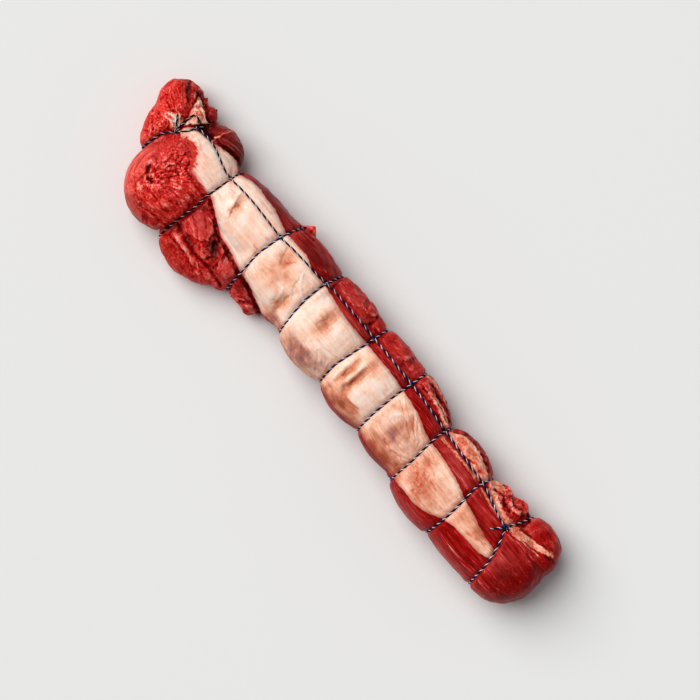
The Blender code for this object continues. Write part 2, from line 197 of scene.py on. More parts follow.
def relief_height(x, y):
    """The sum of the dips and ridges at each x and y, each a bell exp(-u^2 - v^2)."""
    height = np.zeros_like(x)
    at = np.stack([x / RELIEF_BEND_SIZE, y / RELIEF_BEND_SIZE, 0 * x], -1)
    x, y = x + RELIEF_BEND * noise(at + 70), y + RELIEF_BEND * noise(at + 90)
    for middle_x, middle_y, half_x, half_y, turn, rise in RELIEF.values():
        cos, sin = math.cos(math.radians(turn)), math.sin(math.radians(turn))
        u = ((x - middle_x) * cos + (y - middle_y) * sin) / half_x
        v = ((y - middle_y) * cos - (x - middle_x) * sin) / half_y
        height = height + rise * np.exp(-u * u - v * v)
    return height


def meat_surface(start, way, angle):
    """The skin along each ray: BLEND times the log of the sum of exp(reach / BLEND), less the cuts."""
    reaches = np.stack([lobe_reach(start, way, lobe) for lobe in LOBES.values()])
    furthest = reaches.max(0)
    reach = furthest + BLEND * np.log(np.exp((reaches - furthest) / BLEND).sum(0))
    skin = start + way * reach[..., None]
    upper_side = np.clip((skin[..., 2] - RELIEF_FROM) / (RELIEF_FULL - RELIEF_FROM), 0, 1)
    reach = reach + upper_side * relief_height(skin[..., 0], skin[..., 1])
    lift = np.zeros_like(reach)
    for tie in TIES:
        off = skin[..., 0] - tie_x(tie, angle)
        reach = reach - GROOVE_DEPTH * np.exp(-(off / GROOVE_WIDTH) ** 2)
        lift = np.maximum(lift, FLOOR_LIFT * np.exp(-(off / FLOOR_LIFT_WIDTH) ** 2))
    down = np.minimum(way[..., 2], -1e-6)
    reach = np.minimum(reach, (start[..., 2] - lift) / -down)
    return start + way * reach[..., None]


def square_ways(angle):
    """Rays square to the roll."""
    return np.stack([0 * angle, np.cos(angle), np.sin(angle)], -1)


# The rows of the fine surface: at an end each turns from square to the roll towards the pole,
# and between two ties each lies at a share of the way from one to the other.
HEAD_ROWS = 140
TAIL_ROWS = 110
HEAD_STEP = 0.42
ROW_STEP = 0.52
COLUMNS = 400
UNDER_SHARE = 0.4  # how closely the underside's columns stand, to the upper side's
SIDE_FROM, SIDE_DEPTH = 4, 14  # the heights over which the one spacing passes into the other

row_kinds = [("head", 1 - step / (HEAD_ROWS + 1)) for step in range(1, HEAD_ROWS + 1)]
tie_rows = []
for number, (one, other) in enumerate(zip(TIES[:-1], TIES[1:])):
    tie_rows.append(len(row_kinds))
    steps = round((other[2] - one[2]) / (ROW_STEP if number else HEAD_STEP))
    row_kinds += [(number, step / steps) for step in range(steps)]
tie_rows.append(len(row_kinds))
row_kinds += [("tail", step / (TAIL_ROWS + 1)) for step in range(TAIL_ROWS + 1)]


def ray_rows(angles):
    """The start and way of every ray, for rows of angles."""
    starts, ways = np.empty((*angles.shape, 3)), np.empty((*angles.shape, 3))
    for row, ((kind, share), angle) in enumerate(zip(row_kinds, angles)):
        if kind in ("head", "tail"):
            tie, centre, pole = ((TIES[0], HEAD_FAN, HEAD_POLE) if kind == "head"
                                 else (TIES[-1], TAIL_FAN, TAIL_POLE))
            tilt = share * math.pi / 2
            way = square_ways(angle) * math.cos(tilt) + np.array(pole) * math.sin(tilt)
            ways[row] = way / np.linalg.norm(way, axis=-1, keepdims=True)
            ease = math.sin(tilt)
            starts[row] = along_spine(tie_x(tie, angle)) * (1 - ease) + np.array(centre) * ease
        else:
            x = tie_x(TIES[kind], angle) * (1 - share) + tie_x(TIES[kind + 1], angle) * share
            starts[row] = along_spine(x)
            ways[row] = square_ways(angle)
    return starts, ways


def even_angles(coarse_steps=200, smoothing=12):
    """Angles that put the columns evenly along each row, closer on the upper side."""
    coarse = np.tile(np.arange(coarse_steps + 1) * 2 * math.pi / coarse_steps, (len(row_kinds), 1))
    ring = meat_surface(*ray_rows(coarse), coarse)
    length = np.linalg.norm(np.diff(ring, axis=1), axis=-1)
    upper = np.clip((ring[:, 1:, 2] - SIDE_FROM) / SIDE_DEPTH, 0, 1)
    grown = np.cumsum(length * (UNDER_SHARE + (1 - UNDER_SHARE) * upper), axis=1)
    grown = np.concatenate([np.zeros((len(grown), 1)), grown / grown[:, -1:]], axis=1)
    window = np.hanning(2 * smoothing + 1)
    padded = np.pad(grown, ((smoothing, smoothing), (0, 0)), mode="edge")
    smooth = sum(w * padded[i:i + len(grown)] for i, w in enumerate(window)) / window.sum()
    shares = np.arange(COLUMNS) / COLUMNS
    return np.stack([np.interp(shares, row, coarse[0]) for row in smooth])


angles = even_angles()
plain_skin = meat_surface(*ray_rows(angles), angles)


def facing(points):
    """The outward direction at each point: along the columns crossed with along the rows."""
    across = np.roll(points, -1, 1) - np.roll(points, 1, 1)
    along = np.gradient(points, axis=0)
    normal = np.cross(across, along)
    return normal / np.maximum(np.linalg.norm(normal, axis=-1, keepdims=True), 1e-9)


def unrolled(points):
    """How far each point is across the roll: its y seen from above, and past the widest lines
    the length of the skin from there on, so that the sides are laid out flat."""
    step = np.linalg.norm(np.roll(points, -1, 1) - points, axis=-1)
    length = np.cumsum(step, axis=1) - step
    y = points[..., 1]
    rows = np.arange(len(points))
    right = np.where(np.arange(COLUMNS) < COLUMNS // 3, y, -np.inf).argmax(1)
    left = y.argmin(1)
    past_left = y[rows, left][:, None] - (length - length[rows, left][:, None])
    before_right = y[rows, right][:, None] + (length[rows, right][:, None] - length)
    total = length[:, -1:] + step[:, -1:]
    wrapped = y[rows, right][:, None] + (length[rows, right][:, None] + total - length)
    columns = np.arange(COLUMNS)[None, :]
    across = np.where(columns < right[:, None], before_right, y)
    low = points[..., 2].argmin(1)[:, None]
    across = np.where(columns > left[:, None], np.where(columns < np.maximum(low, left[:, None] + 1),
                                                        past_left, wrapped), across)
    return across


X = plain_skin[..., 0]
ACROSS = unrolled(plain_skin)

# The fillet's grain
# Raw muscle is bundles of fibres. Where a knife has opened it they stand up in soft pebbles
# and curls a few millimetres wide, and where it is whole they lie as fine strands.
def lumps(size, shift=0):
    """Noise over the skin. The size is a lump's, in millimetres: one, or one each for x, y and z."""
    return noise(plain_skin / size + shift)


def curls(points, size):
    """Rounded worms with sharp furrows between them: the square root of |noise| of bent points."""
    bent = points + size * np.stack([noise(points / (1.6 * size) + shift) for shift in (3, 17, 41)], -1)
    return np.sqrt(np.abs(noise(bent / size)) + 0.02) - 0.5


def patch(x, across, shape, firm=2):
    """One inside an ellipse and nothing well outside it: exp(-(u^2 + v^2)^firm)."""
    middle_x, middle_across, half_x, half_across, turn = shape[:5]
    cos, sin = math.cos(math.radians(turn)), math.sin(math.radians(turn))
    u = ((x - middle_x) * cos + (across - middle_across) * sin) / half_x
    v = ((across - middle_across) * cos - (x - middle_x) * sin) / half_across
    return np.exp(-(u * u + v * v) ** firm)


def bent_by(reach, size, shift):
    """X and ACROSS pushed about by noise, so that what is laid out in them gets natural edges."""
    return X + reach * lumps(size, shift), ACROSS + reach * lumps(size, shift + 50)


def line_distance(x, across, points):
    """The distance in millimetres to a bent line."""
    nearest = np.full(x.shape, np.inf)
    for (x0, y0), (x1, y1) in zip(points[:-1], points[1:]):
        dx, dy = x1 - x0, y1 - y0
        share = np.clip(((x - x0) * dx + (across - y0) * dy) / (dx * dx + dy * dy), 0, 1)
        nearest = np.minimum(nearest, np.hypot(x - x0 - share * dx, across - y0 - share * dy))
    return nearest


def strokes(x, across, lines):
    """The sum of bell-shaped strokes along bent lines: each has a half width, a strength and its points."""
    total = np.zeros(x.shape)
    for half_width, strength, points in lines.values():
        ends = np.array(points, float)
        low, high = ends.min(0) - 3 * half_width, ends.max(0) + 3 * half_width
        near = (x > low[0]) & (x < high[0]) & (across > low[1]) & (across < high[1])
        total[near] += strength * np.exp(-(line_distance(x[near], across[near], points) / half_width) ** 2)
    return total


def edge_distance(x, across, outline):
    """The distance to a closed outline in millimetres, above nothing inside it."""
    around = list(outline) + [outline[0]]
    inside = np.zeros(x.shape, bool)
    for (x0, y0), (x1, y1) in zip(around[:-1], around[1:]):
        crosses = (y0 > across) != (y1 > across)
        inside ^= crosses & (x < (x1 - x0) * (across - y0) / ((y1 - y0) or 1e-9) + x0)
    return np.where(inside, 1, -1) * line_distance(x, across, around)


# How far each stretch is opened muscle: middle x and across, half sizes, turn, strength.
OPENED = {
    "tip": (10, 15, 27, 90, 0, 0.95),
    "wing": (64, -40, 38, 62, 0, 1.0),
    "dark_side": (74, 48, 24, 18, 0, 0.3),
    "strap": (130, -50, 42, 34, 0, 0.7),
    "strap_end": (178, -40, 30, 18, 0, 0.55),
    "chain_3": (243, 44, 30, 16, 0, 0.5),
    "chain_4": (297, 44, 26, 16, 0, 0.45),
    "chain_5": (345, 42, 26, 14, 0, 0.5),
    "chain_6": (396, 36, 27, 14, 0, 0.6),
    "chain_7": (447, 34, 24, 15, 0, 0.95),
    "tail_fold": (490, 36, 18, 12, 0, 0.3),
}
# The wing's rim and the dark side, where whole strands run in rings round a middle.
WING_MIDDLE = (67, -18)
WING_RIMS = {"side": (34, -30, 12, 26, 8, 1.0), "low": (55, -54, 26, 8, -25, 0.9)}
DARK_SIDE_MIDDLE = (84, 16)
DARK_SIDE = (76, 44, 24, 16, 0)

# Cuts, clefts and raised strands: half width, height, and points on x and across.
FURROWS = {
    "gash_of_the_tip": (1.0, -1.3, ((13, 47), (17, 41), (23, 37), (28, 35))),
    "crag_of_the_tip": (2.0, -2.4, ((27, 47), (36, 45), (44, 41), (51, 36))),
    "under_the_flap": (1.2, -2.6, ((28, 44), (31, 37), (36, 29), (37, 22))),
    "behind_the_flap": (1.6, -3.0, ((44, 32), (50, 31), (56, 30))),
    "ridge_of_the_tip": (1.6, 1.0, ((17, 47), (24, 43), (31, 40))),
    "tip_cut_1": (0.7, -1.0, ((6, 30), (13, 22), (20, 21))),
    "tip_cut_2": (0.7, -1.0, ((12, 8), (19, 2), (27, -3))),
    "tip_cut_3": (0.7, -0.8, ((19, -8), (25, -4), (31, -5))),
    "pit_of_the_wing": (1.4, -2.0, ((47, -24.5), (50, -28), (54, -30), (56, -29))),
    "wing_curl_1": (0.8, -1.1, ((58, 6), (61, 0), (60, -6), (57, -11))),
    "wing_curl_2": (0.8, -1.0, ((64, -4), (67, -9), (65, -15), (61, -20), (62, -26))),
    "wing_curl_3": (0.8, -1.0, ((44, -14), (49, -17), (52, -23))),
    "wing_step": (1.2, -1.4, ((66, 4), (69, -2), (74, -4), (84, -5), (94, -4))),
    "wing_cut_1": (0.8, -1.6, ((66, -50), (76, -47), (85, -45), (94, -43))),
    "wing_cut_2": (0.7, -0.9, ((72, -22), (82, -21), (94, -24))),
    "wing_cut_3": (0.7, -0.9, ((60, -36), (70, -35), (80, -37), (94, -34))),
    "wing_cut_4": (0.7, -0.8, ((45, -38), (54, -44), (62, -47))),
    "under_the_cap": (1.4, -2.0, ((48, 27.5), (62, 31), (72, 33), (82, 36), (90, 36))),
    "strap_cleft": (1.2, -2.2, ((97, -36), (108, -38), (122, -40), (140, -39), (158, -41))),
    "strap_cut_1": (0.8, -1.4, ((98, -46), (110, -47), (122, -46), (134, -50))),
    "strap_cut_2": (1.2, -1.6, ((124, -18), (130, -23), (136, -30), (134, -36))),
    "strap_cut_3": (1.0, -1.4, ((140, -20), (144, -27), (143, -36))),
    "strap_cut_4": (0.7, -1.0, ((100, -22), (110, -25), (118, -31))),
    "strap_cut_5": (0.7, -0.9, ((101, -12), (111, -16), (120, -23))),
    "strap_ridge": (1.4, 1.0, ((104, -43), (116, -44), (128, -47))),
    "strap_under_the_skin": (1.6, -2.8, ((99, -3.5), (110, -8.5), (120, -13.5), (130, -17.5), (140, -18.5),
                                         (150, -21.5), (160, -23.5), (175, -25.5), (185, -28.5), (196, -32))),
    "ragged_notch": (1.2, -2.5, ((178, -38), (182, -34), (186, -32))),
    "ragged_fold": (1.0, -1.4, ((163, -37), (172, -37), (180, -32), (190, -31))),
    "scrap_step": (1.0, -1.8, ((163, 41), (170, 40.5), (179, 41.5))),
    "side_2_fibre": (1.2, 0.5, ((172, 41), (182, 39.5), (194, 37), (205, 33))),
    "chain_3_lobe": (1.2, -1.8, ((260, 30.5), (262, 35), (260, 41))),
    "chain_3_lobe_2": (1.0, -1.3, ((258, 38), (266, 34), (273, 33))),
    "chain_3_start": (1.2, -1.6, ((219, 30), (218, 36), (221, 42))),
    "chain_3_ridge": (1.3, 1.1, ((246, 37), (252, 37), (258, 40))),
    "chain_4_dip": (2.0, -1.2, ((303, 31), (307, 36), (306, 43))),
    "chain_4_ridge": (1.4, 0.9, ((297, 34), (301, 37), (303, 40))),
    "chain_5_groove_1": (1.0, -1.8, ((332, 41), (342, 38), (354, 37), (365, 32))),
    "chain_5_groove_2": (0.9, -1.4, ((330, 33), (342, 35), (352, 34), (362, 30))),
    "chain_5_under": (1.1, -1.8, ((322, 29), (336, 30), (350, 28.5), (364, 27))),
    "chain_6_outer": (1.4, -1.8, ((373, 31), (381, 35.5), (392, 37), (404, 36), (416, 31))),
    "chain_6_cut": (1.0, -1.4, ((398, 24), (404, 27), (411, 25))),
    "chain_7_cut_1": (1.0, -1.6, ((430, 25), (438, 28), (444, 24), (452, 23))),
    "chain_7_cut_2": (1.0, -1.4, ((444, 31), (450, 28), (458, 31), (463, 27))),
    "chain_7_cut_3": (1.2, -2.2, ((464, 34), (468, 30), (468, 24))),
    "chain_7_strand": (0.8, 1.0, ((446, 27), (452, 25.5), (459, 26.5))),
    "tail_seam": (0.8, -0.9, ((464, 20), (476, 22.5), (488, 25), (501, 28))),
    "tail_seam_under": (0.8, -0.8, ((470, 13), (486, 17), (502, 22.5), (508, 24))),
}
# Creases and ridges of the silverskin, given in the same way.
SKIN_FOLDS = {
    "fold_1_ridge": (1.3, 0.8, ((112, 20), (114, 13), (117, 5), (120, 1))),
    "fold_1_crease": (1.5, -0.8, ((115.8, 19), (117, 11), (119.5, 5))),
    "fold_1_side": (2.2, 0.4, ((120, 17), (122, 9), (125, 3))),
    "line_1": (0.5, -0.35, ((101, 27), (112, 26), (126, 30))),
    "line_1_low": (0.6, -0.4, ((104, -2), (118, -7), (132, -12))),
    "fold_2_a": (1.2, -0.7, ((171, 21), (174, 14), (177, 8))),
    "fold_2_b": (1.1, 0.6, ((195, 17), (201, 9), (210, 5))),
    "fold_2_c": (1.3, -0.7, ((196, 12), (199, 4), (204, 0))),
    "fold_2_d": (1.2, 0.7, ((193, -2), (197, -10), (199, -19))),
    "fold_2_e": (1.2, -0.9, ((201, -4), (203, -12), (203, -22))),
    "fold_2_f": (0.6, -0.35, ((165, 0), (184, -6), (198, -9))),
    "fold_3_a": (1.3, 0.6, ((243.5, 18), (244, 8), (243, 0))),
    "fold_3_b": (1.2, -0.5, ((234, 20), (236, 10), (234, 1))),
    "fold_3_c": (0.7, -0.5, ((222, -15), (230, -20), (238, -25))),
    "fold_3_d": (0.7, -0.5, ((236, -14), (243, -20), (250, -27))),
    "fold_3_e": (0.7, -0.5, ((250, -13), (256, -19), (262, -26))),
    "fold_3_f": (0.8, 0.5, ((262, -12), (266, -20), (267, -28))),
    "fold_4_a": (1.4, 0.8, ((274.8, 8), (274.8, -6), (276, -18))),
    "fold_4_b": (1.7, -0.75, ((278.5, 7), (278.8, -6), (280, -18))),
    "fold_4_c": (1.2, 0.5, ((283.5, 8), (284, -4), (284.5, -16))),
    "fold_4_d": (1.9, -0.9, ((287.5, 7), (288, -6), (288, -17))),
    "fold_4_e": (1.3, 0.8, ((292.5, 8), (292.8, -4), (292.5, -15))),
    "fold_4_f": (0.6, -0.7, ((289, -19.5), (297, -21), (308, -18.5))),
    "fold_4_g": (0.7, -0.4, ((277, -22), (285, -25), (293, -24))),
    "fold_5_a": (0.8, 0.7, ((326, 15), (335, 10), (344, 6.5), (356, 1))),
    "fold_5_b": (0.8, -0.8, ((325, 12.5), (335, 7.5), (344, 4), (354, -1.5))),
    "fold_5_c": (0.8, 0.6, ((339, 16), (346, 11), (352, 6), (361, -1))),
    "fold_5_d": (0.8, -0.7, ((341, 13), (347, 8), (353, 3))),
    "fold_5_e": (0.7, 0.5, ((349, 12), (356, 8), (364, 3))),
    "fold_5_f": (0.8, -0.7, ((341, -17.5), (350, -20.5), (358, -18), (367, -13))),
    "fold_5_g": (0.8, 0.6, ((343, -15.5), (350, -18), (358, -15.5), (367, -10))),
    "fold_6_a": (0.9, 0.7, ((385, -9), (387.5, -17), (391, -27))),
    "fold_6_b": (0.7, -0.6, ((382.5, -9), (385, -17), (388, -26))),
    "fold_6_c": (0.6, -0.4, ((372, -1), (384, -2), (392, -6))),
    "fold_6_d": (0.6, -0.4, ((396, -21), (405, -19), (415, -20))),
}

# Soft patches are laid out in X and ACROSS bent loosely, lines and outlines in the torn ones.
loose = bent_by(3.2, 11.0, 50)
torn = bent_by(0.9, 3.2, 80)
# Cuts and lines are drawn strongly in some places and faintly in others.
frayed = 0.65 + 0.6 * lumps(4.5, 23)
# The way that the torn strands lie: x and across of a place, and degrees from the roll's length.
LIE_OF_STRANDS = ((60, -8, 75), (46, -36, -55), (80, -25, 15), (85, -47, 20), (108, -20, -40),
                  (122, -47, -5), (134, -30, -60), (152, -30, 70), (12, 10, 60), (22, -8, -60),
                  (25, 36, -35), (42, 45, -20), (450, 27, 20), (340, 36, -12), (395, 30, -10),
                  (230, 38, 25), (262, 38, -50), (290, 38, 15), (310, 38, 60), (72, 42, 80))
LIE_REACH = 13.0
LIE_ALONG = 0.15  # the pull along the roll, where none of those places is near
turned_x, turned_y = LIE_ALONG + 0 * X, 0 * X
for x, across, degrees in LIE_OF_STRANDS:
    near = np.exp(-((X - x) ** 2 + (ACROSS - across) ** 2) / (2 * LIE_REACH ** 2))
    turned_x = turned_x + near * math.cos(math.radians(2 * degrees))
    turned_y = turned_y + near * math.sin(math.radians(2 * degrees))
lie = np.arctan2(turned_y, turned_x) / 2
# At the two ends the skin faces along the roll, and what is laid out by x would run in rings.
normals = facing(plain_skin)
END_FROM, END_FULL = 0.35, 0.7
end_on = np.clip((np.abs(normals[..., 0]) - END_FROM) / (END_FULL - END_FROM), 0, 1)
SWEPT_REACH = 5.0
swept = plain_skin + SWEPT_REACH * np.stack([lumps(14, shift) for shift in (33, 55, 77)], -1)


def along_grain(length, width, shift):
    """Noise drawn out along the lie of the strands: the nearest of six fixed ways, blended."""
    total, weights = np.zeros(X.shape), np.zeros(X.shape)
    for number in range(6):
        turn = number * math.pi / 6
        weight = np.cos(lie - turn) ** 16
        along = X * math.cos(turn) + ACROSS * math.sin(turn)
        beside = ACROSS * math.cos(turn) - X * math.sin(turn)
        laid_out = np.stack([along / length, beside / width, plain_skin[..., 2] / 9 + shift], -1)
        total += weight * noise(laid_out)
        weights += weight
    on_the_end = 0.75 * noise(swept / (3 * width, 1.6 * width, 1.2 * length) + shift + 11)
    return total / weights * (1 - end_on) + on_the_end * end_on


def patches(shapes, firm=2):
    """The strongest of several soft ellipses at each point."""
    return np.max([shape[5] * patch(*loose, shape, firm) for shape in shapes.values()], axis=0)


opened = patches(OPENED)
wing_rim = patches(WING_RIMS)
dark_side = patch(*loose, DARK_SIDE)

# The silverskin
# A thin tough membrane, pearly over the red muscle, left on the fillet's top. Its edge is
# where the knife has lifted it: upper edge from the head to the tail, then the lower one back.
SILVERSKIN = ((39, 14), (41, 20), (44, 25), (60, 29), (70, 31), (80, 34.5), (88, 34.5), (98, 28), (101, 30),
              (110, 34), (120, 34.3), (140, 33), (160, 28), (185, 29), (192, 27), (200, 25), (213, 25.5),
              (220, 24), (245, 21), (300, 21), (330, 18.5), (340, 17), (348, 15), (355, 12), (362, 10.5),
              (380, 9.5), (400, 7), (410, 4.5), (418, 2), (425, 0.5), (435, -1.5), (445, -4), (455, -5.5),
              (469, -6.5), (471, -14), (460, -18), (430, -20), (420, -23), (412, -28), (405, -31), (395, -33),
              (372, -32.5), (368, -31.5), (345, -32), (330, -30.5), (322, -28.5), (319, -28.5), (308, -31.5),
              (295, -33), (280, -31.5), (273, -30.5), (266, -38), (250, -46), (228, -44), (219, -33),
              (216, -27), (205, -28), (195, -29), (185, -26), (175, -23), (160, -21), (150, -19), (140, -16),
              (130, -15), (120, -11), (110, -6), (98, 0), (95, -1), (80, -3), (70, -2), (66, 4), (62, 9),
              (55, 13), (48, 11))
SKIN_THICKNESS = 0.5
SKIN_EDGE_WAVE = 0.5
SKIN_EDGE = 1.2  # how wide its cut edge is, from the muscle up to its full thickness


def eased_step(distance, width):
    """From nothing to one over a width about the edge: 3t^2 - 2t^3."""
    t = np.clip(0.5 + distance / width, 0, 1)
    return t * t * (3 - 2 * t)


skin = edge_distance(X, ACROSS, SILVERSKIN)
skin += SKIN_EDGE_WAVE * lumps(4.0) + 0.4 * SKIN_EDGE_WAVE * lumps(1.6)
# Over the neck of the wing shreds of muscle lie on the edge of the skin: the patch, and their reach.
NECK = (66, 4, 22, 12, -20)
NECK_SHREDS = 4.5
skin -= NECK_SHREDS * patch(X, ACROSS, NECK) * np.abs(lumps((3.4, 2.2, 2.4), 60))
covered = eased_step(skin, SKIN_EDGE)
opened = opened * (1 - covered)

# The fillet's relief
# Heights in millimetres along the skin's outward way: puckers beside the ties, whole strands,
# torn grain, the membrane's creases and slack, cuts, and flaps of muscle and fat. In the sums
# the number before a pattern is its height, and those inside lumps are its size.
PUCKER_REACH = 5.0  # how far puckers run from a tie into the bulges beside it
nearest_tie = np.min([np.abs(X - tie_x(tie, angles)) for tie in TIES], axis=0)
puckered = np.exp(-nearest_tie / PUCKER_REACH)
pucker = lumps((26, 2.4, 2.4), 5) * puckered

lengthwise = 0.8 * lumps((60, 1.6, 1.6)) + 0.7 * lumps((30, 0.9, 0.9), 7)
# Over the folded tail the strands run on to the pole, each at its own angle round the roll.
TAIL_TURNS = (478, 492)
over_tail = np.clip((X - TAIL_TURNS[0]) / (TAIL_TURNS[1] - TAIL_TURNS[0]), 0, 1)
TAIL_RADIUS = 34
spokes = TAIL_RADIUS * np.stack([np.cos(angles), np.sin(angles), X / 900], -1)
spokes = (0.8 * noise(spokes / 1.8) + 0.7 * noise(spokes / 1.0 + 7)) * (1 - 0.35 * end_on)
lengthwise = lengthwise * (1 - over_tail) + spokes * over_tail


def ring_strands(middle, squash, width, along, length):
    """Strands in rings: noise of the distance to a middle over a width, drawn out over a length."""
    radius = np.hypot(X - middle[0], (ACROSS - middle[1]) * squash)
    return noise(np.stack([radius / width, along / length, plain_skin[..., 2] / length], -1))


strands = (lengthwise * (1 - wing_rim) * (1 - dark_side)
           + 1.3 * ring_strands(WING_MIDDLE, 0.93, 1.6, plain_skin[..., 1], 16) * wing_rim
           + 2.4 * ring_strands(DARK_SIDE_MIDDLE, 1.25, 2.0, X, 30) * dark_side)

# The sizes of the torn grain's lumps.
BIG_LUMPS = 7.0
SMALL_LUMPS = 4.4
GRAIN = 2.6
shreds = along_grain(8.0, 1.7, 0)
fine_shreds = along_grain(4.5, 0.95, 40)
# Where the torn grain stands high in curls, and where it lies nearly smooth, in streaks.
CURLED = {
    "wing_top": (56, -6, 17, 14, 0, 0.55),
    "wing_pit": (52, -25, 12, 8, -30, 0.3),
    "strap_hole": (132, -25, 12, 10, 0, 0.4),
    "tip_neck": (27, -8, 10, 10, 0, 0.3),
    "knob": (450, 28, 14, 8, 0, 0.4),
}
STREAKED = {
    "wing_low": (76, -44, 22, 12, 12, 0.6),
    "wing_side": (84, -24, 14, 12, 0, 0.3),
    "strap_upper": (109, -20, 12, 10, -30, 0.8),
    "tip_far": (13, 38, 12, 11, 0, 0.5),
    "tip_top": (10, 20, 12, 16, 0, 0.3),
    "flap": (39, 33, 8, 12, 35, 0.8),
    "strap_low": (118, -52, 24, 9, 0, 0.5),
    "ragged": (178, -30, 18, 8, 0, 0.65),
    "chain_6": (396, 31, 26, 8, -5, 0.3),
}
roughness = 0.75 + 0.6 * lumps(12, 15)
for shapes, sign in ((CURLED, 1), (STREAKED, -1)):
    for shape in shapes.values():
        roughness = roughness + sign * shape[5] * patch(*loose, shape)
roughness = np.clip(roughness * (1 - 0.35 * end_on), 0.12, 1.6)
mingled = np.clip(0.5 + lumps(8, 66), 0, 1)
curled = (mingled * 1.3 * curls(plain_skin, BIG_LUMPS)
          + (1 - mingled) * 1.15 * curls(plain_skin + 30, SMALL_LUMPS) + 0.5 * curls(plain_skin + 90, GRAIN))
torn_height = (0.8 * lumps(9, 21) + roughness * curled
               + (0.72 * shreds + 0.32 * fine_shreds) * np.clip(roughness, 0.45, 1))
lumpy = lumps(7.5, 44)
creased = lumps((2.2, 13, 13), 2) * 0.5 + lumps((24, 1.8, 1.8), 4) * 0.5
slack = lumps((10, 8, 8), 31)
bare = (1 - covered) * (1 - 0.7 * opened)
CHAIN_FROM = 24  # past here across the roll the chain lies loose, in lumps of its own
raised = (SKIN_THICKNESS * covered + opened * (1 - 0.7 * wing_rim) * 1.6 * torn_height
          + 0.09 * strands * bare * (1 + 2.5 * dark_side)
          + (0.35 * slack + 0.5 * lumpy * (ACROSS > CHAIN_FROM)) * (1 - covered)
          + (0.24 * creased + 0.3 * slack) * covered + 0.5 * pucker)
raised = raised + over_tail * (0.7 * lumps(15, 81) + 0.25 * noise(swept / (6, 3, 12) + 19))
CUTS_FROM, CUTS_DEPTH = 8, 10  # cuts, folds and flaps fade in over these heights
upper = np.clip((plain_skin[..., 2] - CUTS_FROM) / CUTS_DEPTH, 0, 1)
raised = raised + strokes(*torn, FURROWS) * upper * frayed
raised = raised + strokes(*torn, SKIN_FOLDS) * upper * covered * (0.5 + 0.5 * frayed)

# Flaps and scraps that stand up from what is round them, with a crisp edge: height and outline.
STEPS = {
    "flap_of_fat": (1.7, ((27, 46), (31, 43.5), (37, 41), (44, 38), (51, 35), (46, 31.5), (42, 26.5),
                          (38.5, 20), (36.5, 24), (34.5, 30), (31.5, 36))),
    "spot_of_fat": (0.8, ((21, 18), (27, 21), (30, 25), (32, 21.5), (38, 23), (36, 18), (39, 14), (32, 12.5),
                          (27, 14))),
    "scrap_of_the_tip": (1.2, ((40, 49), (47, 47), (52, 42), (50, 38), (43, 42))),
    "strap_band": (1.0, ((100, -40), (112, -42), (126, -43), (138, -45), (130, -48), (114, -46), (101, -44))),
    "strap_step": (1.1, ((99, -5), (112, -10), (122, -17), (124, -26), (116, -32), (106, -34), (98, -32))),
    "strap_rise": (1.0, ((143, -22), (152, -22), (159, -26), (157, -34), (148, -36), (143, -31))),
    "chain_3_lobe": (0.9, ((246, 46), (251, 38), (258, 37), (266, 33), (272, 36), (270, 46))),
    "chain_3_tongue": (0.8, ((218, 44), (219, 34), (228, 31.5), (240, 32), (246, 36), (242, 46))),
    "chain_4_lobe": (0.8, ((276, 46), (277, 33), (290, 31), (301, 33), (304, 38), (303, 46))),
    "chain_5_band": (0.9, ((326, 40), (338, 36), (352, 33), (366, 28.5), (352, 30), (338, 32.5), (326, 35))),
    "chain_7_lobe": (1.2, ((436, 36), (438, 28), (446, 25), (458, 26), (463, 31), (460, 38))),
}
STEP_EDGE = 1.4
for height, outline in STEPS.values():
    edge = eased_step(edge_distance(*torn, outline), STEP_EDGE)
    raised = raised + height * edge * upper * (1 - covered)

# The long run of twine presses a shallow dent into the meat.
LONG_RUN = ((45.5, 27), (48, 28), (53, 28.5), (62, 29), (70, 28), (80, 25), (90, 22), (98, 21.5), (110, 23),
            (125, 23.5), (140, 23), (160, 22), (175, 24), (200, 25.5), (212, 27), (220, 28), (240, 28.5),
            (273, 28.5), (320, 28), (340, 27), (350, 26), (367, 25), (385, 23.5), (405, 22), (418, 21.5),
            (430, 19), (440, 16), (450, 13), (458, 12), (462, 11.5))
RUN_DENT_WIDTH, RUN_DENT = 1.7, 0.7
raised = raised - strokes(X, ACROSS, {"run": (RUN_DENT_WIDTH, RUN_DENT, LONG_RUN)}) * upper

displaced = plain_skin + normals * raised[..., None]
lowest, highest = (np.array(corner) / MM + (*ROLL_MIDDLE, 0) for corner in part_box("beef_fillet"))
displaced = np.clip(displaced, lowest, highest)


def blurred(field, reach):
    """A moving mean over rows and columns, three times over."""
    for _ in range(3):
        wrapped = np.pad(field, ((0, 0), (reach, reach)), mode="wrap")
        total = np.cumsum(np.pad(wrapped, ((0, 0), (1, 0))), axis=1)
        field = (total[:, 2 * reach + 1:] - total[:, :-2 * reach - 1]) / (2 * reach + 1)
        padded = np.pad(field, ((reach, reach), (0, 0)), mode="edge")
        total = np.cumsum(np.pad(padded, ((1, 0), (0, 0))), axis=0)
        field = (total[2 * reach + 1:] - total[:-2 * reach - 1]) / (2 * reach + 1)
    return field


# How far each point stands above or below its neighbours, which the colours use as painted highlight on
# crests and painted shade in pits: reach and full depth.
RELIEF_SHADING_REACH, RELIEF_SHADING_DEPTH = 4, 0.75
relief_shading = np.clip((raised - blurred(raised, RELIEF_SHADING_REACH)) / RELIEF_SHADING_DEPTH, -1, 1)
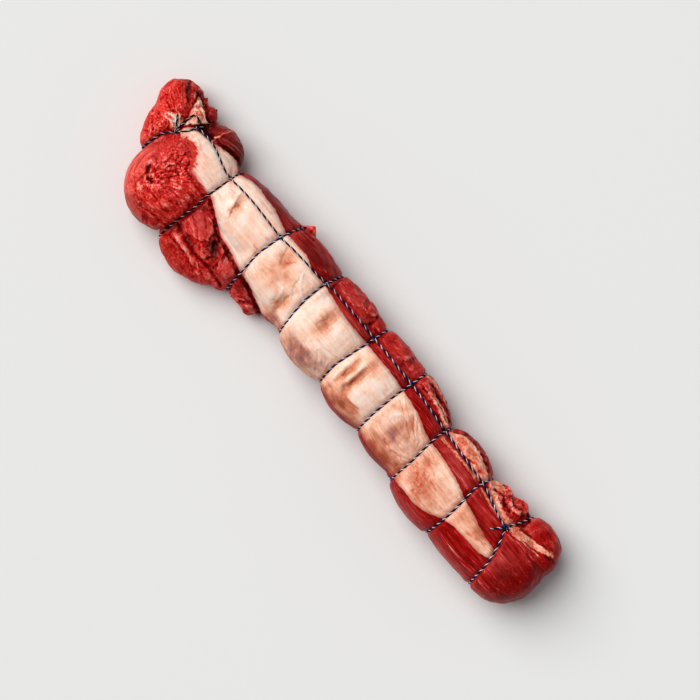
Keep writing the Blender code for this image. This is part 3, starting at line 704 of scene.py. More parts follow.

# The fillet's colours
# Where fat, blood, thin membrane and bruises lie, and painted shade, glints and sheen. Areas are outlines,
# lines have a half width, a strength and their points, and soft patches are ellipses.
FAT_AREAS = {
    "flap": ((28, 45), (40, 40), (48.5, 36), (46, 31), (42, 24), (38, 20), (34, 30), (30, 37)),
    "spot_of_the_tip": ((24, 19), (29, 22.5), (35, 23), (39, 14), (34, 11.5), (28, 14)),
    "corner_5": ((322, 41), (326, 45), (333, 44.5), (329, 41)),
    "band_5": ((334, 34), (350, 31), (366, 26), (367, 30), (353, 35), (338, 37.5)),
    "rim_5": ((328, 42), (345, 41), (358, 37.5), (363, 36), (352, 42), (330, 46)),
    "lump_6": ((370, 27), (378, 34), (388, 36.5), (400, 36), (412, 32), (422, 25), (416, 20), (406, 21),
               (398, 25), (388, 23), (372, 25)),
    "streak_6": ((369, 17.8), (395, 18.6), (412, 17.5), (412, 20), (395, 20.5), (370, 20.5)),
    "streak_7": ((421, 16), (440, 13.5), (454, 12.6), (452, 14.2), (440, 15.4), (422, 18)),
    "band_7": ((421, 28), (427, 25.5), (440, 22), (452, 18.5), (462, 21), (468, 20.5), (463, 13.5), (450, 14),
               (440, 16), (428, 18.5)),
    "lump_7": ((421, 31), (430, 33.5), (437, 32), (437, 28), (429, 25), (421, 25.5)),
    "seam_of_the_tail": ((461, 17), (475, 21.5), (487, 23.8), (500, 29), (504, 26), (489, 19), (476, 15.8),
                         (464, 12.6)),
}
# Lines of fat, given in the same way, and among them painted glints and sheen (the glint and sheen lines).
FAT_AND_GLINT_LINES = {
    "seam_of_the_side": (1.1, 0.95, ((62.5, 30), (64, 38), (66.5, 48))),
    "lip_of_the_cap": (0.9, 0.6, ((44, 26), (56, 29.5), (64, 30))),
    "tail_line": (0.55, 1.3, ((467, 13), (480, 15.5), (494, 18))),
    "tail_seam": (1.7, 0.38, ((462, 14.8), (476, 18.8), (489, 21.4), (501, 27))),
    "band_7": (1.8, 0.46, ((427, 24), (440, 20), (452, 16.5), (462, 17.5))),
    "strap_line": (0.8, 0.35, ((104, -43), (114, -44), (127, -47))),
    "chain_7_line": (0.7, 0.7, ((447, 27), (452, 25.6), (458, 26.4))),
    "chain_7_line_2": (0.6, 0.6, ((455, 33), (460, 30), (463, 25))),
    "chain_3_line": (1.6, 0.35, ((246, 37), (252, 36.5), (257, 39.5))),
    "scrap_edge": (3.0, 0.55, ((165, 44), (171, 46), (176, 44))),
    "membrane_2": (2.2, 0.45, ((176, 28), (181, 29), (186, 28))),
    "sheen_4": (0.7, 0.35, ((302, 24.5), (308, 23.5), (316, 22.5))),
    "spot_ray_1": (0.7, 1.5, ((21.5, 16.5), (30, 18.5), (36, 16.5))),
    "spot_ray_2": (0.6, 1.4, ((24.5, 13), (33, 17))),
    "spot_ray_3": (0.6, 1.3, ((28.5, 23), (34, 18.5))),
    "spot_core": (1.1, 1.0, ((27.5, 20.5), (31, 16.5))),
    "spot_left": (2.2, 0.6, ((21, 20), (22.5, 14.5), (28, 11.5), (37, 12.5))),
    "spot_right": (1.8, 0.55, ((25, 22.5), (31, 25), (37, 23.5))),
    "spot_gap_1": (0.9, -0.5, ((27, 15.5), (34, 14.5))),
    "spot_gap_2": (0.9, -0.45, ((31.5, 21), (36, 19.5))),
    "inside_the_flap": (3.2, -0.4, ((33, 37), (41, 34), (44, 35))),
    "inside_the_flap_2": (1.2, -0.3, ((35, 31), (40, 27))),
    "flap_edge": (0.5, 0.9, ((28, 45), (37, 41), (48, 36))),
    "flap_edge_low": (0.7, 1.0, ((28, 44), (32, 36), (37, 24))),
    "tip_point": (0.9, 0.6, ((1, 28), (3, 24), (5, 20))),
    "tip_glint_1": (0.5, 0.6, ((20, -2), (24, 0), (28, 6))),
    "tip_glint_2": (0.5, 0.6, ((22, 42), (27, 37), (32, 33))),
    "wing_glint_1": (0.6, 0.5, ((58, -36), (66, -34), (74, -31))),
    "wing_glint_2": (0.5, 0.5, ((38, -6), (42, -8))),
    "tail_bit": (0.9, 0.8, ((474, -23), (475.5, -25))),
    "tail_bit_low": (1.2, 0.7, ((473, -42), (478, -41.5))),
    "neck_of_the_wing": (0.9, 0.5, ((37, 10.5), (48, 10.5), (55, 12.5))),
}
# Painted shade in cuts, clefts and under overhangs: half width, strength and points.
CLEFT_SHADE_LINES = {
    "crag": (2.8, 1.0, ((24, 46), (33, 46), (42, 42.5), (51, 37))),
    "gash": (1.4, 0.85, ((12, 47), (17, 41), (23, 37), (28, 35))),
    "under_the_flap": (1.6, 0.9, ((27, 43), (30, 36), (35, 28))),
    "behind_the_flap": (3.0, 1.0, ((45, 33), (52, 31.5), (60, 31))),
    "pit": (2.0, 0.8, ((46, -23), (50, -28), (54, -30), (58, -28.5))),
    "under_the_cap": (1.6, 0.9, ((50, 30), (68, 32.5), (80, 36), (92, 35.5))),
    "strap_under_the_skin": (1.7, 1.0, ((118, -12.5), (128, -17), (140, -18.5), (150, -20.5))),
    "strap_under_the_skin_2": (2.2, 0.8, ((163, -23.5), (175, -25.5), (185, -28.5), (196, -32))),
    "strap_hollow": (4.5, 0.7, ((124, -19), (132, -25), (137, -30))),
    "strap_hollow_2": (2.5, 0.6, ((142, -20), (145, -28), (143, -38))),
    "chain_6_outer": (1.6, 0.9, ((378, 37), (392, 38.5), (404, 37), (416, 32))),
    "chain_7": (2.2, 1.0, ((465, 34), (468, 30), (468, 24))),
    "tail_seam": (0.8, 0.7, ((466, 21.5), (478, 23), (490, 26), (502, 29))),
    "tail_corner": (2.0, 0.8, ((498, 22.5), (505, 23.5))),
}
# Furrows painted dark all along, as painted shade: half width and strength.
SHADED_FURROWS = {"strap_cleft": (1.6, 0.75), "chain_5_groove_1": (1.4, 0.85), "chain_5_groove_2": (1.0, 0.6),
                "chain_7_cut_1": (1.6, 0.9), "chain_7_cut_2": (1.6, 0.8)}
CLEFT_SHADE_LINES |= {name: (*look, FURROWS[name][2]) for name, look in SHADED_FURROWS.items()}
# Darker patches, partly darker muscle and partly painted shade on the sides, the lower edge and the tail's
# end.
DARK_AND_SHADED_PATCHES = {
    "dark_side": (77, 40, 22, 9, 0, 0.62),
    "dark_side_end": (58, 38, 6, 10, 0, 0.6),
    "strap_hole": (131, -25, 8, 6, -20, 0.55),
    "ragged": (180, -29, 17, 6, -8, 0.35),
    "tail_middle": (489, -16, 12, 14, 0, 0.3),
    "chain_5_side": (340, 40, 20, 4, -10, 0.3),
    "side_2": (190, 34, 24, 7, -6, 0.45),
    "side_1": (125, 39, 30, 5, 0, 0.35),
    "strap_low": (112, -52, 18, 8, 0, 0.25),
    "wing_low": (70, -55, 26, 10, 0, 0.3),
    "tip_far": (16, 42, 9, 8, 0, 0.4),
    "low_6": (400, -50, 40, 12, 0, 0.1),
    "low_7": (446, -30, 26, 10, 0, 0.12),
    "tail_end": (505, -8, 10, 40, 0, 0.2),
}
BLUSH_LINES = {
    "veins_6_a": (0.9, 0.8, ((380, -8), (386, -13), (388, -20), (387, -28))),
    "veins_6_b": (1.1, 0.6, ((388, -12), (394, -11), (400, -14))),
    "veins_6_c": (1.1, 0.6, ((372, -2), (380, -3), (388, -5))),
    "veins_6_d": (1.8, 0.4, ((396, -20), (405, -20), (412, -19))),
    "veins_6_e": (1.0, 0.6, ((377, -13), (382, -17), (384, -23))),
    "veins_6_f": (1.2, 0.5, ((391, -10), (394, -16), (393, -24))),
    "veins_6_g": (2.6, 0.3, ((380, -24), (392, -27), (404, -26))),
    "veins_6_h": (3.0, 0.25, ((372, -12), (380, -16), (390, -18))),
    "spot_7_a": (1.6, 0.9, ((442.5, -14.5), (445.5, -12.5))),
    "spot_7_b": (1.3, 0.7, ((450, -12.5), (453, -10.5), (458, -9.5))),
    "line_7": (0.6, 0.4, ((412, -8), (424, -8), (432, -11))),
    "streak_2_a": (0.7, 0.7, ((180, 13), (184, 18))),
    "streak_2_b": (0.6, 0.5, ((178, 11), (182, 14))),
    "streak_1": (0.8, 0.8, ((151, 1.5), (158, 2))),
    "streak_1_b": (1.2, 0.4, ((126, 29), (140, 28.5), (142, 31))),
    "wing_edge": (4.2, 0.9, ((48, 14), (57, 15), (64, 12), (69, 6), (73, 1), (84, -1))),
    "wing_edge_red": (2.4, 1.8, ((50, 13), (57, 14.5), (63, 11.5), (67.5, 6), (70, 1.5))),
    "wing_edge_red_2": (1.6, 1.4, ((74, -0.5), (82, -1.5), (92, -0.5))),
    "tie_2": (1.6, 0.6, ((91, 27), (95, 23))),
    "tie_2_after": (2.2, 0.45, ((99, 20), (106, 17), (112, 14))),
    "head_1": (1.6, 0.3, ((56, 22), (64, 18), (74, 17))),
    "head_2": (2.0, 0.25, ((78, 10), (86, 8), (92, 9))),
    "tie_3": (2.0, 0.45, ((154, 12), (157, 20))),
    "fold_5": (0.9, 0.6, ((340, -18), (350, -19.5), (360, -17), (367, -17))),
    "fold_4": (0.8, 0.5, ((291, -20.5), (300, -20), (309, -18.5))),
    "line_3": (0.7, 0.3, ((243, -8), (255, -7), (267, -4))),
    "low_5": (3.5, 0.3, ((335, -28), (350, -27), (365, -27))),
}
# Tan of the silverskin, partly its own colour and partly painted shade in its dents and along its lower side.
TAN_AND_SHADE_PATCHES = {
    "fold_1": (117.5, 12, 2.8, 8, 12, 0.6),
    "fold_1_side": (122, 14, 5, 6, 0, 0.25),
    "head": (80, 14, 18, 10, 0, 0.12),
    "middle_1": (140, 5, 22, 20, 0, 0.15),
    "middle_2": (182, 2, 18, 20, -20, 0.45),
    "dent_2": (176, 14, 8, 9, 0, 0.15),
    "dent_2_low": (201, -13, 7, 14, -10, 0.3),
    "low_2": (208, -25, 14, 5, 0, 0.7),
    "dent_3": (236, 6, 11, 19, 0, 0.35),
    "low_3": (243, -31, 30, 13, 0, 0.55),
    "side_3": (262, -6, 10, 22, 0, 0.12),
    "dent_4": (279.5, -8, 5, 18, 0, 0.5),
    "dent_4_deep": (289, -7, 5.5, 18, 0, 0.52),
    "between_4": (284, -16, 10, 10, 0, 0.5),
    "low_4": (295, -30, 28, 11, 0, 0.9),
    "upper_4": (288, 13, 9, 10, 0, 0.6),
    "middle_5": (347, -6, 19, 17, 0, 0.45),
    "start_5": (326, -6, 7, 22, 0, 0.3),
    "fold_5": (345, 6, 18, 5, -28, 0.5),
    "low_5": (346, -29, 30, 11, 0, 0.9),
    "middle_6": (390, -17, 24, 16, -8, 0.55),
    "start_6": (377, -8, 10, 17, 0, 0.55),
    "low_6": (398, -26, 24, 10, 0, 0.4),
    "middle_7": (445, -8, 30, 12, 0, 0.5),
}
# Over these x the membrane turns a shade browner, from there to the tail.
LOIN = (320, 350)
LOIN_TAN = 0.09
BRUISE_PATCHES = {
    "low_3": (243, -26, 20, 8, 0, 0.75),
    "low_3_side": (258, -20, 9, 8, 40, 0.5),
    "middle_5": (343, -9, 6, 7.5, 20, 0.8),
    "broad_5": (340, -4, 26, 18, 0, 0.24),
    "hollow_3": (237, 4, 11, 16, 0, 0.14),
    "low_2": (208, -24, 12, 4, 0, 0.4),
    "rim_3": (245, 20, 30, 3.0, 0, 0.35),
    "middle_2": (205, -27, 10, 3, 0, 0.4),
}
# Bruises are drawn out aslant, as the membrane's own fibres are.
slanted = np.stack([(swept[..., 0] + ACROSS) / 3.2, (X - ACROSS) / 10, plain_skin[..., 2] / 12], -1)
# A film of thin membrane over whole muscle, paler and pinker than the bare flesh, and partly a painted sheen.
FILM_AND_SHEEN_PATCHES = {
    "side_6": (395, 13, 28, 5, -8, 0.5),
    "side_7": (440, 5, 20, 5, -10, 0.25),
    "tail_left": (480, -6, 12, 18, 0, 0.3),
    "tail_beside_the_tie": (475, -12, 4, 16, -12, 0.4),
    "low_7": (450, -45, 34, 7, 0, 0.55),
    "low_6": (395, -43, 26, 6, -8, 0.4),
    "side_3": (245, 24, 28, 3, 0, 0.3),
    "side_4": (300, 37, 22, 6, 0, 0.2),
    "chain_3": (236, 38, 14, 5, 0, 0.3),
    "side_2": (175, 30, 14, 4, 0, 0.45),
    "side_1": (125, 41, 26, 3, 0, 0.25),
    "strap_rise": (151, -28, 8, 6, 0, 0.55),
    "strap_upper": (108, -20, 9, 8, -30, 0.35),
    "wing_low": (62, -56, 24, 6, -20, 0.3),
    "wing_top": (46, -6, 14, 16, 20, 0.16),
    "wing_middle": (80, -20, 14, 14, 0, 0.12),
    "dark_side": (72, 42, 8, 4, 0, 0.3),
    "dark_side_start": (57, 40, 3, 9, 0, 0.3),
}

# The fat's areas first; the painted glint and sheen lines are added to them next.
fat_and_glints = np.full(X.shape, -9.0)
for outline in FAT_AREAS.values():
    fat_and_glints = np.maximum(fat_and_glints, edge_distance(*torn, outline))
fat_and_glint_share = np.clip(0.5 + fat_and_glints / 1.6, 0, 1)
fat_and_glint_share = np.clip(fat_and_glint_share + strokes(*torn, FAT_AND_GLINT_LINES) * (0.5 + 0.5 * frayed), 0, 2)
# Painted shade along the clefts.
cleft_shade = np.clip(strokes(*torn, CLEFT_SHADE_LINES) * frayed, 0, 1)
UNDERSIDE = 10  # the height below which the broad relief is left out again
under = np.clip((UNDERSIDE - plain_skin[..., 2]) / UNDERSIDE, 0, 1)
# The hollows of the broad relief, for painted shade in the silverskin's tan.
broad = raised + relief_height(X, plain_skin[..., 1]) * (1 - under)
hollow_shade = np.clip((blurred(broad, 14) - blurred(broad, 3)) / 0.9, -1, 1)

MEAT_FIELDS = {
    "skin": skin,
    "fat_and_glints": fat_and_glint_share * (1 - covered * 0.8),
    "opened": opened,
    "relief_shading": relief_shading,
    "cleft_shade_and_dark": np.clip(cleft_shade * (1 - 0.9 * covered) + patches(DARK_AND_SHADED_PATCHES) * (1 - covered), 0, 1),
    "blush": np.clip(strokes(*torn, BLUSH_LINES) * (0.85 + 0.5 * lumps(2.5, 5))
                     + 0.35 * puckered * (0.5 + 0.5 * lumps(3)), 0, 2),
    "tan_and_hollow_shade": np.clip(patches(TAN_AND_SHADE_PATCHES, 1) * (1 + 0.5 * slack) + 0.24 * hollow_shade
                   + LOIN_TAN * np.clip((X - LOIN[0]) / (LOIN[1] - LOIN[0]), 0, 1), 0, 1),
    "bruise": np.clip(patches(BRUISE_PATCHES, 1) * (0.8 + 0.7 * noise(slanted)
                      + 0.5 * lumps(5, 8)), 0, 1),
    "strand": strands,
    "end": 0.55 * end_on,
    "rim": wing_rim * (1 - covered),
    "film_and_sheen": np.clip(patches(FILM_AND_SHEEN_PATCHES, 1) * (0.8 + 0.5 * lengthwise + 0.5 * lumps(5, 12))
                    * (1 - covered), 0, 1),
}


def to_part(points):
    """From the ruler to the part's own frame, in metres."""
    return (np.asarray(points) - np.array([*ROLL_MIDDLE, 0])) * MM


def tube_quads(at):
    """The four-sided faces between rows of point numbers, each row a closed ring."""
    beside = np.roll(at, -1, 1)
    return np.stack([at[:-1], beside[:-1], beside[1:], at[1:]], -1).reshape(-1, 4)


def end_fans(at, front, back):
    """The triangles that close the first and the last ring, each round a point in its middle."""
    beside = np.roll(at, -1, 1)
    ring = np.ones_like(at[0])
    return np.concatenate([np.stack([beside[0], at[0], front * ring], -1),
                           np.stack([at[-1], beside[-1], back * ring], -1)])


def mesh_piece(name, points, quads, triangles, fields, finish):
    """A smooth mesh from arrays of ruler points, four-sided and three-sided faces and point fields."""
    mesh = bpy.data.meshes.new(name)
    corners = np.concatenate([quads.ravel(), triangles.ravel()]).astype(np.int32)
    sizes = np.concatenate([np.full(len(quads), 4), np.full(len(triangles), 3)])
    mesh.vertices.add(len(points))
    mesh.vertices.foreach_set("co", to_part(points).astype(np.float32).ravel())
    mesh.loops.add(len(corners))
    mesh.loops.foreach_set("vertex_index", corners)
    mesh.polygons.add(len(sizes))
    mesh.polygons.foreach_set("loop_start", (np.cumsum(sizes) - sizes).astype(np.int32))
    mesh.update(calc_edges=True)
    for field, values in fields.items():
        flat = np.asarray(values, np.float32)
        kind, key = ("FLOAT", "value") if flat.ndim == 1 else ("FLOAT_VECTOR", "vector")
        mesh.attributes.new(field, kind, "POINT").data.foreach_set(key, flat.ravel())
    mesh.shade_smooth()
    mesh.materials.append(finish)
    piece = bpy.data.objects.new(name, mesh)
    bpy.context.scene.collection.objects.link(piece)
    return piece


def linear(code):
    """An sRGB hex colour as linear red, green, blue and one."""
    parts = [int(code[i:i + 2], 16) / 255 for i in (1, 3, 5)]
    return (*(p / 12.92 if p <= 0.04045 else ((p + 0.055) / 1.055) ** 2.4 for p in parts), 1)


def add(tree, kind, values=None, stops=None, **settings):
    """Adds a node. Values are numbers, or sockets to link, for its inputs. Stops are a ramp's: the
    lowest, the highest and then those between."""
    node = tree.nodes.new("ShaderNode" + kind)
    for name, value in settings.items():
        setattr(node, name, value)
    for key, value in (values or {}).items():
        if isinstance(value, bpy.types.NodeSocket):
            tree.links.new(value, node.inputs[key])
        else:
            node.inputs[key].default_value = value
    for number, (position, code) in enumerate(stops or ()):
        elements = node.color_ramp.elements
        element = elements[number] if number < 2 else elements.new(position)
        element.position, element.color = position, linear(code)
    return node


def new_finish(name, sockets):
    """A new material with values on its shader's own sockets, its node tree and its shader."""
    made = bpy.data.materials.new(name)
    made.use_nodes = True
    shader = made.node_tree.nodes["Principled BSDF"]
    for socket, value in sockets.items():
        shader.inputs[socket].default_value = value
    return made, made.node_tree, shader


# Raw beef: wet muscle is a translucent gel of fibres, IOR about 1.38, under a film of juice.
# The eye sees deep crimson with pale pink crests, soft edges and small wet glints. The
# silverskin over it is collagen: pearly, cream to tan, a little duller than the muscle.
PER_MM = 1 / MM
# Millimetres from one to the next. Real bundles of fibres are 0.2 to 0.5 wide, too fine to
# show, so they are drawn coarser.
FIBRES, BANDS, PEBBLES, MOTTLING = 1.0, 4.5, 1.76, 9.0
FIBRE_DRAW = 0.03  # a pattern's scale along the strands, to that across them


def raw_beef():
    """Muscle, whole or cut, with fat and silverskin over it, each laid on by the mesh's own fields."""
    made, tree, shader = new_finish("raw_beef", {
        "IOR": 1.38, "Specular IOR Level": 0.16, "Subsurface Weight": 0.1,
        "Subsurface Radius": (1.0, 0.3, 0.2), "Subsurface Scale": 0.9 * MM,
        "Coat Weight": 0.06, "Coat Roughness": 0.12, "Coat IOR": 1.35})
    place = add(tree, "TexCoord").outputs["Object"]
    field = {name: add(tree, "Attribute", attribute_name=name).outputs["Fac"] for name in MEAT_FIELDS}
    stretched = add(tree, "Mapping", {"Vector": place, "Scale": (FIBRE_DRAW, 1, 1)}).outputs["Vector"]
    fibres, bands, grain, mottle = (
        add(tree, "TexNoise", {"Vector": where, "Scale": PER_MM / size, "Detail": detail,
                               "Roughness": roughness}).outputs["Fac"]
        for where, size, detail, roughness in ((stretched, FIBRES, 5.0, 0.6), (stretched, BANDS, 2.0, 0.5),
                                               (place, PEBBLES, 4.0, 0.65), (place, MOTTLING, 5.0, 0.6)))

    def layered(start, *layers):
        """A start, plus each layer's pattern times its gain."""
        for pattern, gain in layers:
            start = add(tree, "Math", {0: pattern, 1: gain, 2: start}, operation="MULTIPLY_ADD").outputs[0]
        return start

    def painted(base, *coats):
        """A base colour under coats, each laid on by its share."""
        for share, coat in coats:
            coat = linear(coat) if isinstance(coat, str) else coat
            base = add(tree, "Mix", {0: share, 6: base, 7: coat}, data_type="RGBA").outputs[2]
        return base

    # Whole muscle: crimson, with painted shade in the furrows between strands and painted highlight on their
    # crests, its palest stops a painted sheen, and calmer at the roll's ends.
    calm = add(tree, "Mix", {0: field["end"], 2: fibres, 3: 0.46}).outputs[0]
    shade = layered(-0.725, (field["relief_shading"], 0.22), (field["strand"], 0.13), (calm, 1.4), (bands, 0.7),
                    (mottle, 0.35))
    muscle = add(tree, "ValToRGB", {"Fac": shade},
                 stops=((0.1, "#560000"), (0.98, "#f0b0a8"), (0.36, "#8c0403"), (0.58, "#ac1210"),
                        (0.78, "#cc4844"))).outputs[0]
    # Opened grain: brighter, with painted highlights on its pink crests and painted shade in its pits.
    grain_and_crest_light = layered(-0.72, (field["relief_shading"], 0.43), (grain, 1.6), (mottle, 0.9))
    cut = add(tree, "ValToRGB", {"Fac": grain_and_crest_light},
              stops=((0.04, "#660000"), (1.0, "#f8a89c"), (0.24, "#9c0402"), (0.44, "#cc241b"),
                     (0.68, "#e24c42"), (0.88, "#f07e72"))).outputs[0]
    # Pale strands on the wing's rim, the film of membrane with its painted sheen, and painted shade in the
    # clefts and darker patches.
    pale = layered(-0.1, (fibres, 0.8), (field["strand"], 0.35))
    pale = layered(0.0, (pale, field["rim"]))
    flesh = painted(muscle, (field["opened"], cut), (pale, "#f08072"), (field["film_and_sheen"], "#d0605a"),
                    (field["cleft_shade_and_dark"], "#440200"))

    # Fat: waxy, orange-pink where it is thin over the muscle and cream where it is thick, paler on crests as
    # painted highlight; the same mask carries the painted glints.
    waxy = layered(-0.45, (mottle, 1.0), (field["relief_shading"], 0.34), (grain, 0.9))
    lardy = add(tree, "ValToRGB", {"Fac": waxy},
                stops=((0.15, "#bc2c1c"), (0.84, "#fbd2ba"), (0.46, "#e47e62"))).outputs[0]
    fat_and_glint_edge = layered(field["fat_and_glints"], (grain, 1.3))
    thick = add(tree, "MapRange", {"Value": fat_and_glint_edge, "From Min": 1.9, "From Max": 2.7}).outputs[0]
    fat_and_glint_mask = add(tree, "MapRange", {"Value": fat_and_glint_edge, "From Min": 1.0, "From Max": 1.5}).outputs[0]
    flesh = painted(flesh, (fat_and_glint_mask, painted(lardy, (thick, "#fff0e6"))))

    # Silverskin: cream where it is thick and taut, tan in the hollows, partly its own colour and partly
    # painted shade, with veins and bruises, and the muscle's red shining through along its thin edge.
    tan_and_shading = layered(-0.9, (field["tan_and_hollow_shade"], 1.0), (mottle, 0.9), (fibres, 0.7), (bands, 0.35))
    pearly = add(tree, "ValToRGB", {"Fac": tan_and_shading},
                 stops=((0.0, "#ffe4d4"), (1.0, "#a4573a"), (0.28, "#fccab0"), (0.62, "#dc9678"))).outputs[0]
    veined = layered(0.0, (field["blush"], layered(-0.4, (fibres, 2.2))))
    thin = add(tree, "MapRange", {"Value": field["skin"], "From Min": 0.2, "From Max": 3.5,
                                  "To Min": 0.6, "To Max": 0.0}).outputs[0]
    pearly = painted(pearly, (veined, "#cc2c16"), (field["bruise"], "#8a6064"), (thin, "#a8433a"))
    edge = layered(field["skin"], (grain, 1.2))
    skin_mask = add(tree, "MapRange", {"Value": edge, "From Min": 0.5, "From Max": 0.95}).outputs[0]
    tree.links.new(painted(flesh, (skin_mask, pearly)), shader.inputs["Base Color"])

    # The muscle is wetter in some places than in others, and the silverskin is evenly duller.
    wet = add(tree, "MapRange", {"Value": mottle, "From Min": 0.3, "From Max": 0.7,
                                 "To Min": 0.24, "To Max": 0.44}).outputs[0]
    dry = add(tree, "Mix", {0: skin_mask, 2: wet, 3: 0.46}).outputs[0]
    tree.links.new(dry, shader.inputs["Roughness"])
    height = add(tree, "Mix", {0: field["opened"], 2: fibres, 3: grain}).outputs[0]
    bump = add(tree, "Bump", {"Height": height, "Strength": 0.7, "Distance": 0.5 * MM})
    tree.links.new(bump.outputs["Normal"], shader.inputs["Normal"])
    return made


BEEF = raw_beef()


# The fillet is six closed stretches that meet in the grooves of ties one, two, four, six and eight.
CUTS = [0, *(tie_rows[number] for number in (0, 1, 3, 5, 7)), len(row_kinds) - 1]
STRETCHES = {name: (CUTS[number], CUTS[number + 1]) for number, name in enumerate(
    ("fillet_tip", "fillet_head", "fillet_shoulder", "fillet_middle", "fillet_loin", "fillet_tail"))}


def fillet_stretch(name, first, last):
    """One stretch: its grid of rows, with a pole or a cut's middle to close each end."""
    rows = last - first + 1
    grid = displaced[first:last + 1]
    at = np.arange(rows * COLUMNS).reshape(rows, COLUMNS)
    front, back = rows * COLUMNS, rows * COLUMNS + 1
    points = np.concatenate([grid.reshape(-1, 3), [grid[0].mean(0)], [grid[-1].mean(0)]])
    fields = {field: np.concatenate([values[first:last + 1].ravel(), [values[first].mean()],
                                     [values[last].mean()]]) for field, values in MEAT_FIELDS.items()}
    piece = mesh_piece(name, points, tube_quads(at), end_fans(at, front, back), fields, BEEF)
    ends = np.zeros(len(points), bool)
    if first:
        ends[at[0]] = True
    if last < len(row_kinds) - 1:
        ends[at[-1]] = True
    mesh = piece.data
    edges = np.empty(len(mesh.edges) * 2, np.int32)
    mesh.edges.foreach_get("vertices", edges)
    sharp = ends[edges.reshape(-1, 2)].all(1)
    mesh.attributes.new("sharp_edge", "BOOLEAN", "EDGE").data.foreach_set("value", sharp)
    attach(piece, "root")
    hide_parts("beef_fillet")
    return piece


for stretch, (first, last) in STRETCHES.items():
    fillet_stretch(stretch, first, last)

# The scraps
# Loose points of muscle and fat along the fillet's edges, left by the knife: short flat
# tongues that grow out of the meat and taper, of the same raw beef.
SCRAPS = {  # two ends of the base, the point, heights of base and point, thickness
    "right": ((158.5, 38), (183.5, 39), (170.5, 50.5), 25, 27, 4.5),
    "left": ((181, -30), (198, -30), (186, -41.5), 12, 9, 6.0),
    "left_low": ((163, -33), (179, -33), (169, -41.3), 12, 9, 6.0),
    "strap": ((111, -54), (128, -55), (120, -62.8), 14, 11, 7.0),
    "strap_end": ((137, -46), (151, -47), (146, -53.6), 14, 11, 7.0),
    "tip_ragged": ((27, 43), (38, 45), (31.5, 50), 19, 19, 5.0),
    "tip_ragged_side": ((38, 44), (50, 42), (44.5, 50), 19, 20, 5.0),
    "tip": ((5.5, 18), (6, 33), (1.3, 25.5), 21, 20, 9.0),
}
SCRAP_RINGS = 22
SCRAP_SIDES = 28
SCRAP_END = 0.97  # the last ring's share of the way to the point
SCRAP_TAPER = 0.95
SCRAP_FLATTENING = 0.75  # how much thinner a scrap is at its point
SCRAP_ROUGHNESS, SCRAP_LUMPS = 0.7, 2.6


def tongue(one, other, point, base_height, point_height, thickness):
    """Rings of an ellipse that narrow as (1 - s)^0.95 from the base to the point, roughened by noise."""
    one, other, point = np.array(one), np.array(other), np.array(point)
    share = np.linspace(0, SCRAP_END, SCRAP_RINGS)[:, None]
    turn = np.arange(SCRAP_SIDES)[None, :] * 2 * math.pi / SCRAP_SIDES
    middle = (one + other) / 2 * (1 - share) + point * share
    narrowing = (1 - share) ** SCRAP_TAPER
    half = (other - one) / 2
    rings = np.stack([middle[:, :1] + half[0] * narrowing * np.cos(turn),
                      middle[:, 1:] + half[1] * narrowing * np.cos(turn),
                      base_height + (point_height - base_height) * share
                      + thickness / 2 * (1 - SCRAP_FLATTENING * share) * np.sin(turn)], -1)
    rough = np.stack([noise(rings / SCRAP_LUMPS + shift) for shift in (1, 12, 23)], -1)
    return rings + SCRAP_ROUGHNESS * narrowing[..., None] * rough


scrap_points, scrap_quads, scrap_triangles, counted = [], [], [], 0
for one, other, point, base_height, point_height, thickness in SCRAPS.values():
    rings = tongue(one, other, point, base_height, point_height, thickness)
    if np.cross(np.subtract(other, one), np.subtract(point, one)) > 0:
        rings = rings[:, ::-1]
    at = counted + np.arange(SCRAP_RINGS * SCRAP_SIDES).reshape(SCRAP_RINGS, SCRAP_SIDES)
    ends = counted + SCRAP_RINGS * SCRAP_SIDES + np.arange(2)
    scrap_quads.append(tube_quads(at))
    scrap_triangles.append(end_fans(at, *ends))
    scrap_points += [rings.reshape(-1, 3), rings[[0, -1]].mean(1)]
    counted += SCRAP_RINGS * SCRAP_SIDES + 2
scrap_points = np.clip(np.concatenate(scrap_points), lowest, highest)
flat = np.zeros(len(scrap_points))
scrap_fields = {name: flat for name in MEAT_FIELDS}
# Those behind the flap of fat are darkened with painted shade and blood.
at_the_tip = np.clip((60 - scrap_points[:, 0]) / 10, 0, 1)
scrap_fields |= {"skin": flat - 9, "opened": flat + 1, "relief_shading": np.clip(noise(scrap_points / 2.4), -1, 1),
                 "cleft_shade_and_dark": 0.45 * at_the_tip * (scrap_points[:, 1] > 36),
                 "fat_and_glints": 0.6 * np.clip(noise(scrap_points / 5 + 9) + 0.6, 0, 1)}
scraps = mesh_piece("fillet_scraps", scrap_points, np.concatenate(scrap_quads),
                    np.concatenate(scrap_triangles), scrap_fields, BEEF)
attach(scraps, "root")
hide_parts("beef_fillet")

# The twine
# One length of cotton butcher's twine, under 2 mm thick: four plies, two navy, one blue and one white, laid
# up together; the blue is a painted sheen on navy. It starts in a knot at the head, makes nine ties and ends
# in a knot.
TWINE_RADIUS = 0.82
LAY_LENGTH = 7.4  # mm along the twine for one turn of its plies
PLY_STEP = 0.75
PLY_SIDES = 7
FIBRE_TWIST = 2.2  # radians that a ply's own fibres turn in a millimetre
FIBRE_PULL = 0.3  # how far their pattern is drawn out along the ply
PRESSED_IN = 0.6  # how far the twine sinks into the meat
FIRST_TIE_DIVES = (10.0, 32.0, 4.2)  # the angle, spread and depth of its dip behind the head's tip
FIRST_TIE_STANDS = 1.1  # how far it stands off the groove elsewhere
RUN_OVER_TIE = 0.6  # half the height of the long run's middle over a tie's
START_KNOT = (38.0, 12.0)
START_LOOP = ((38, 12.5), (37, 19), (36.2, 27), (36.5, 33), (40.5, 33.2), (45, 32), (46.5, 28))
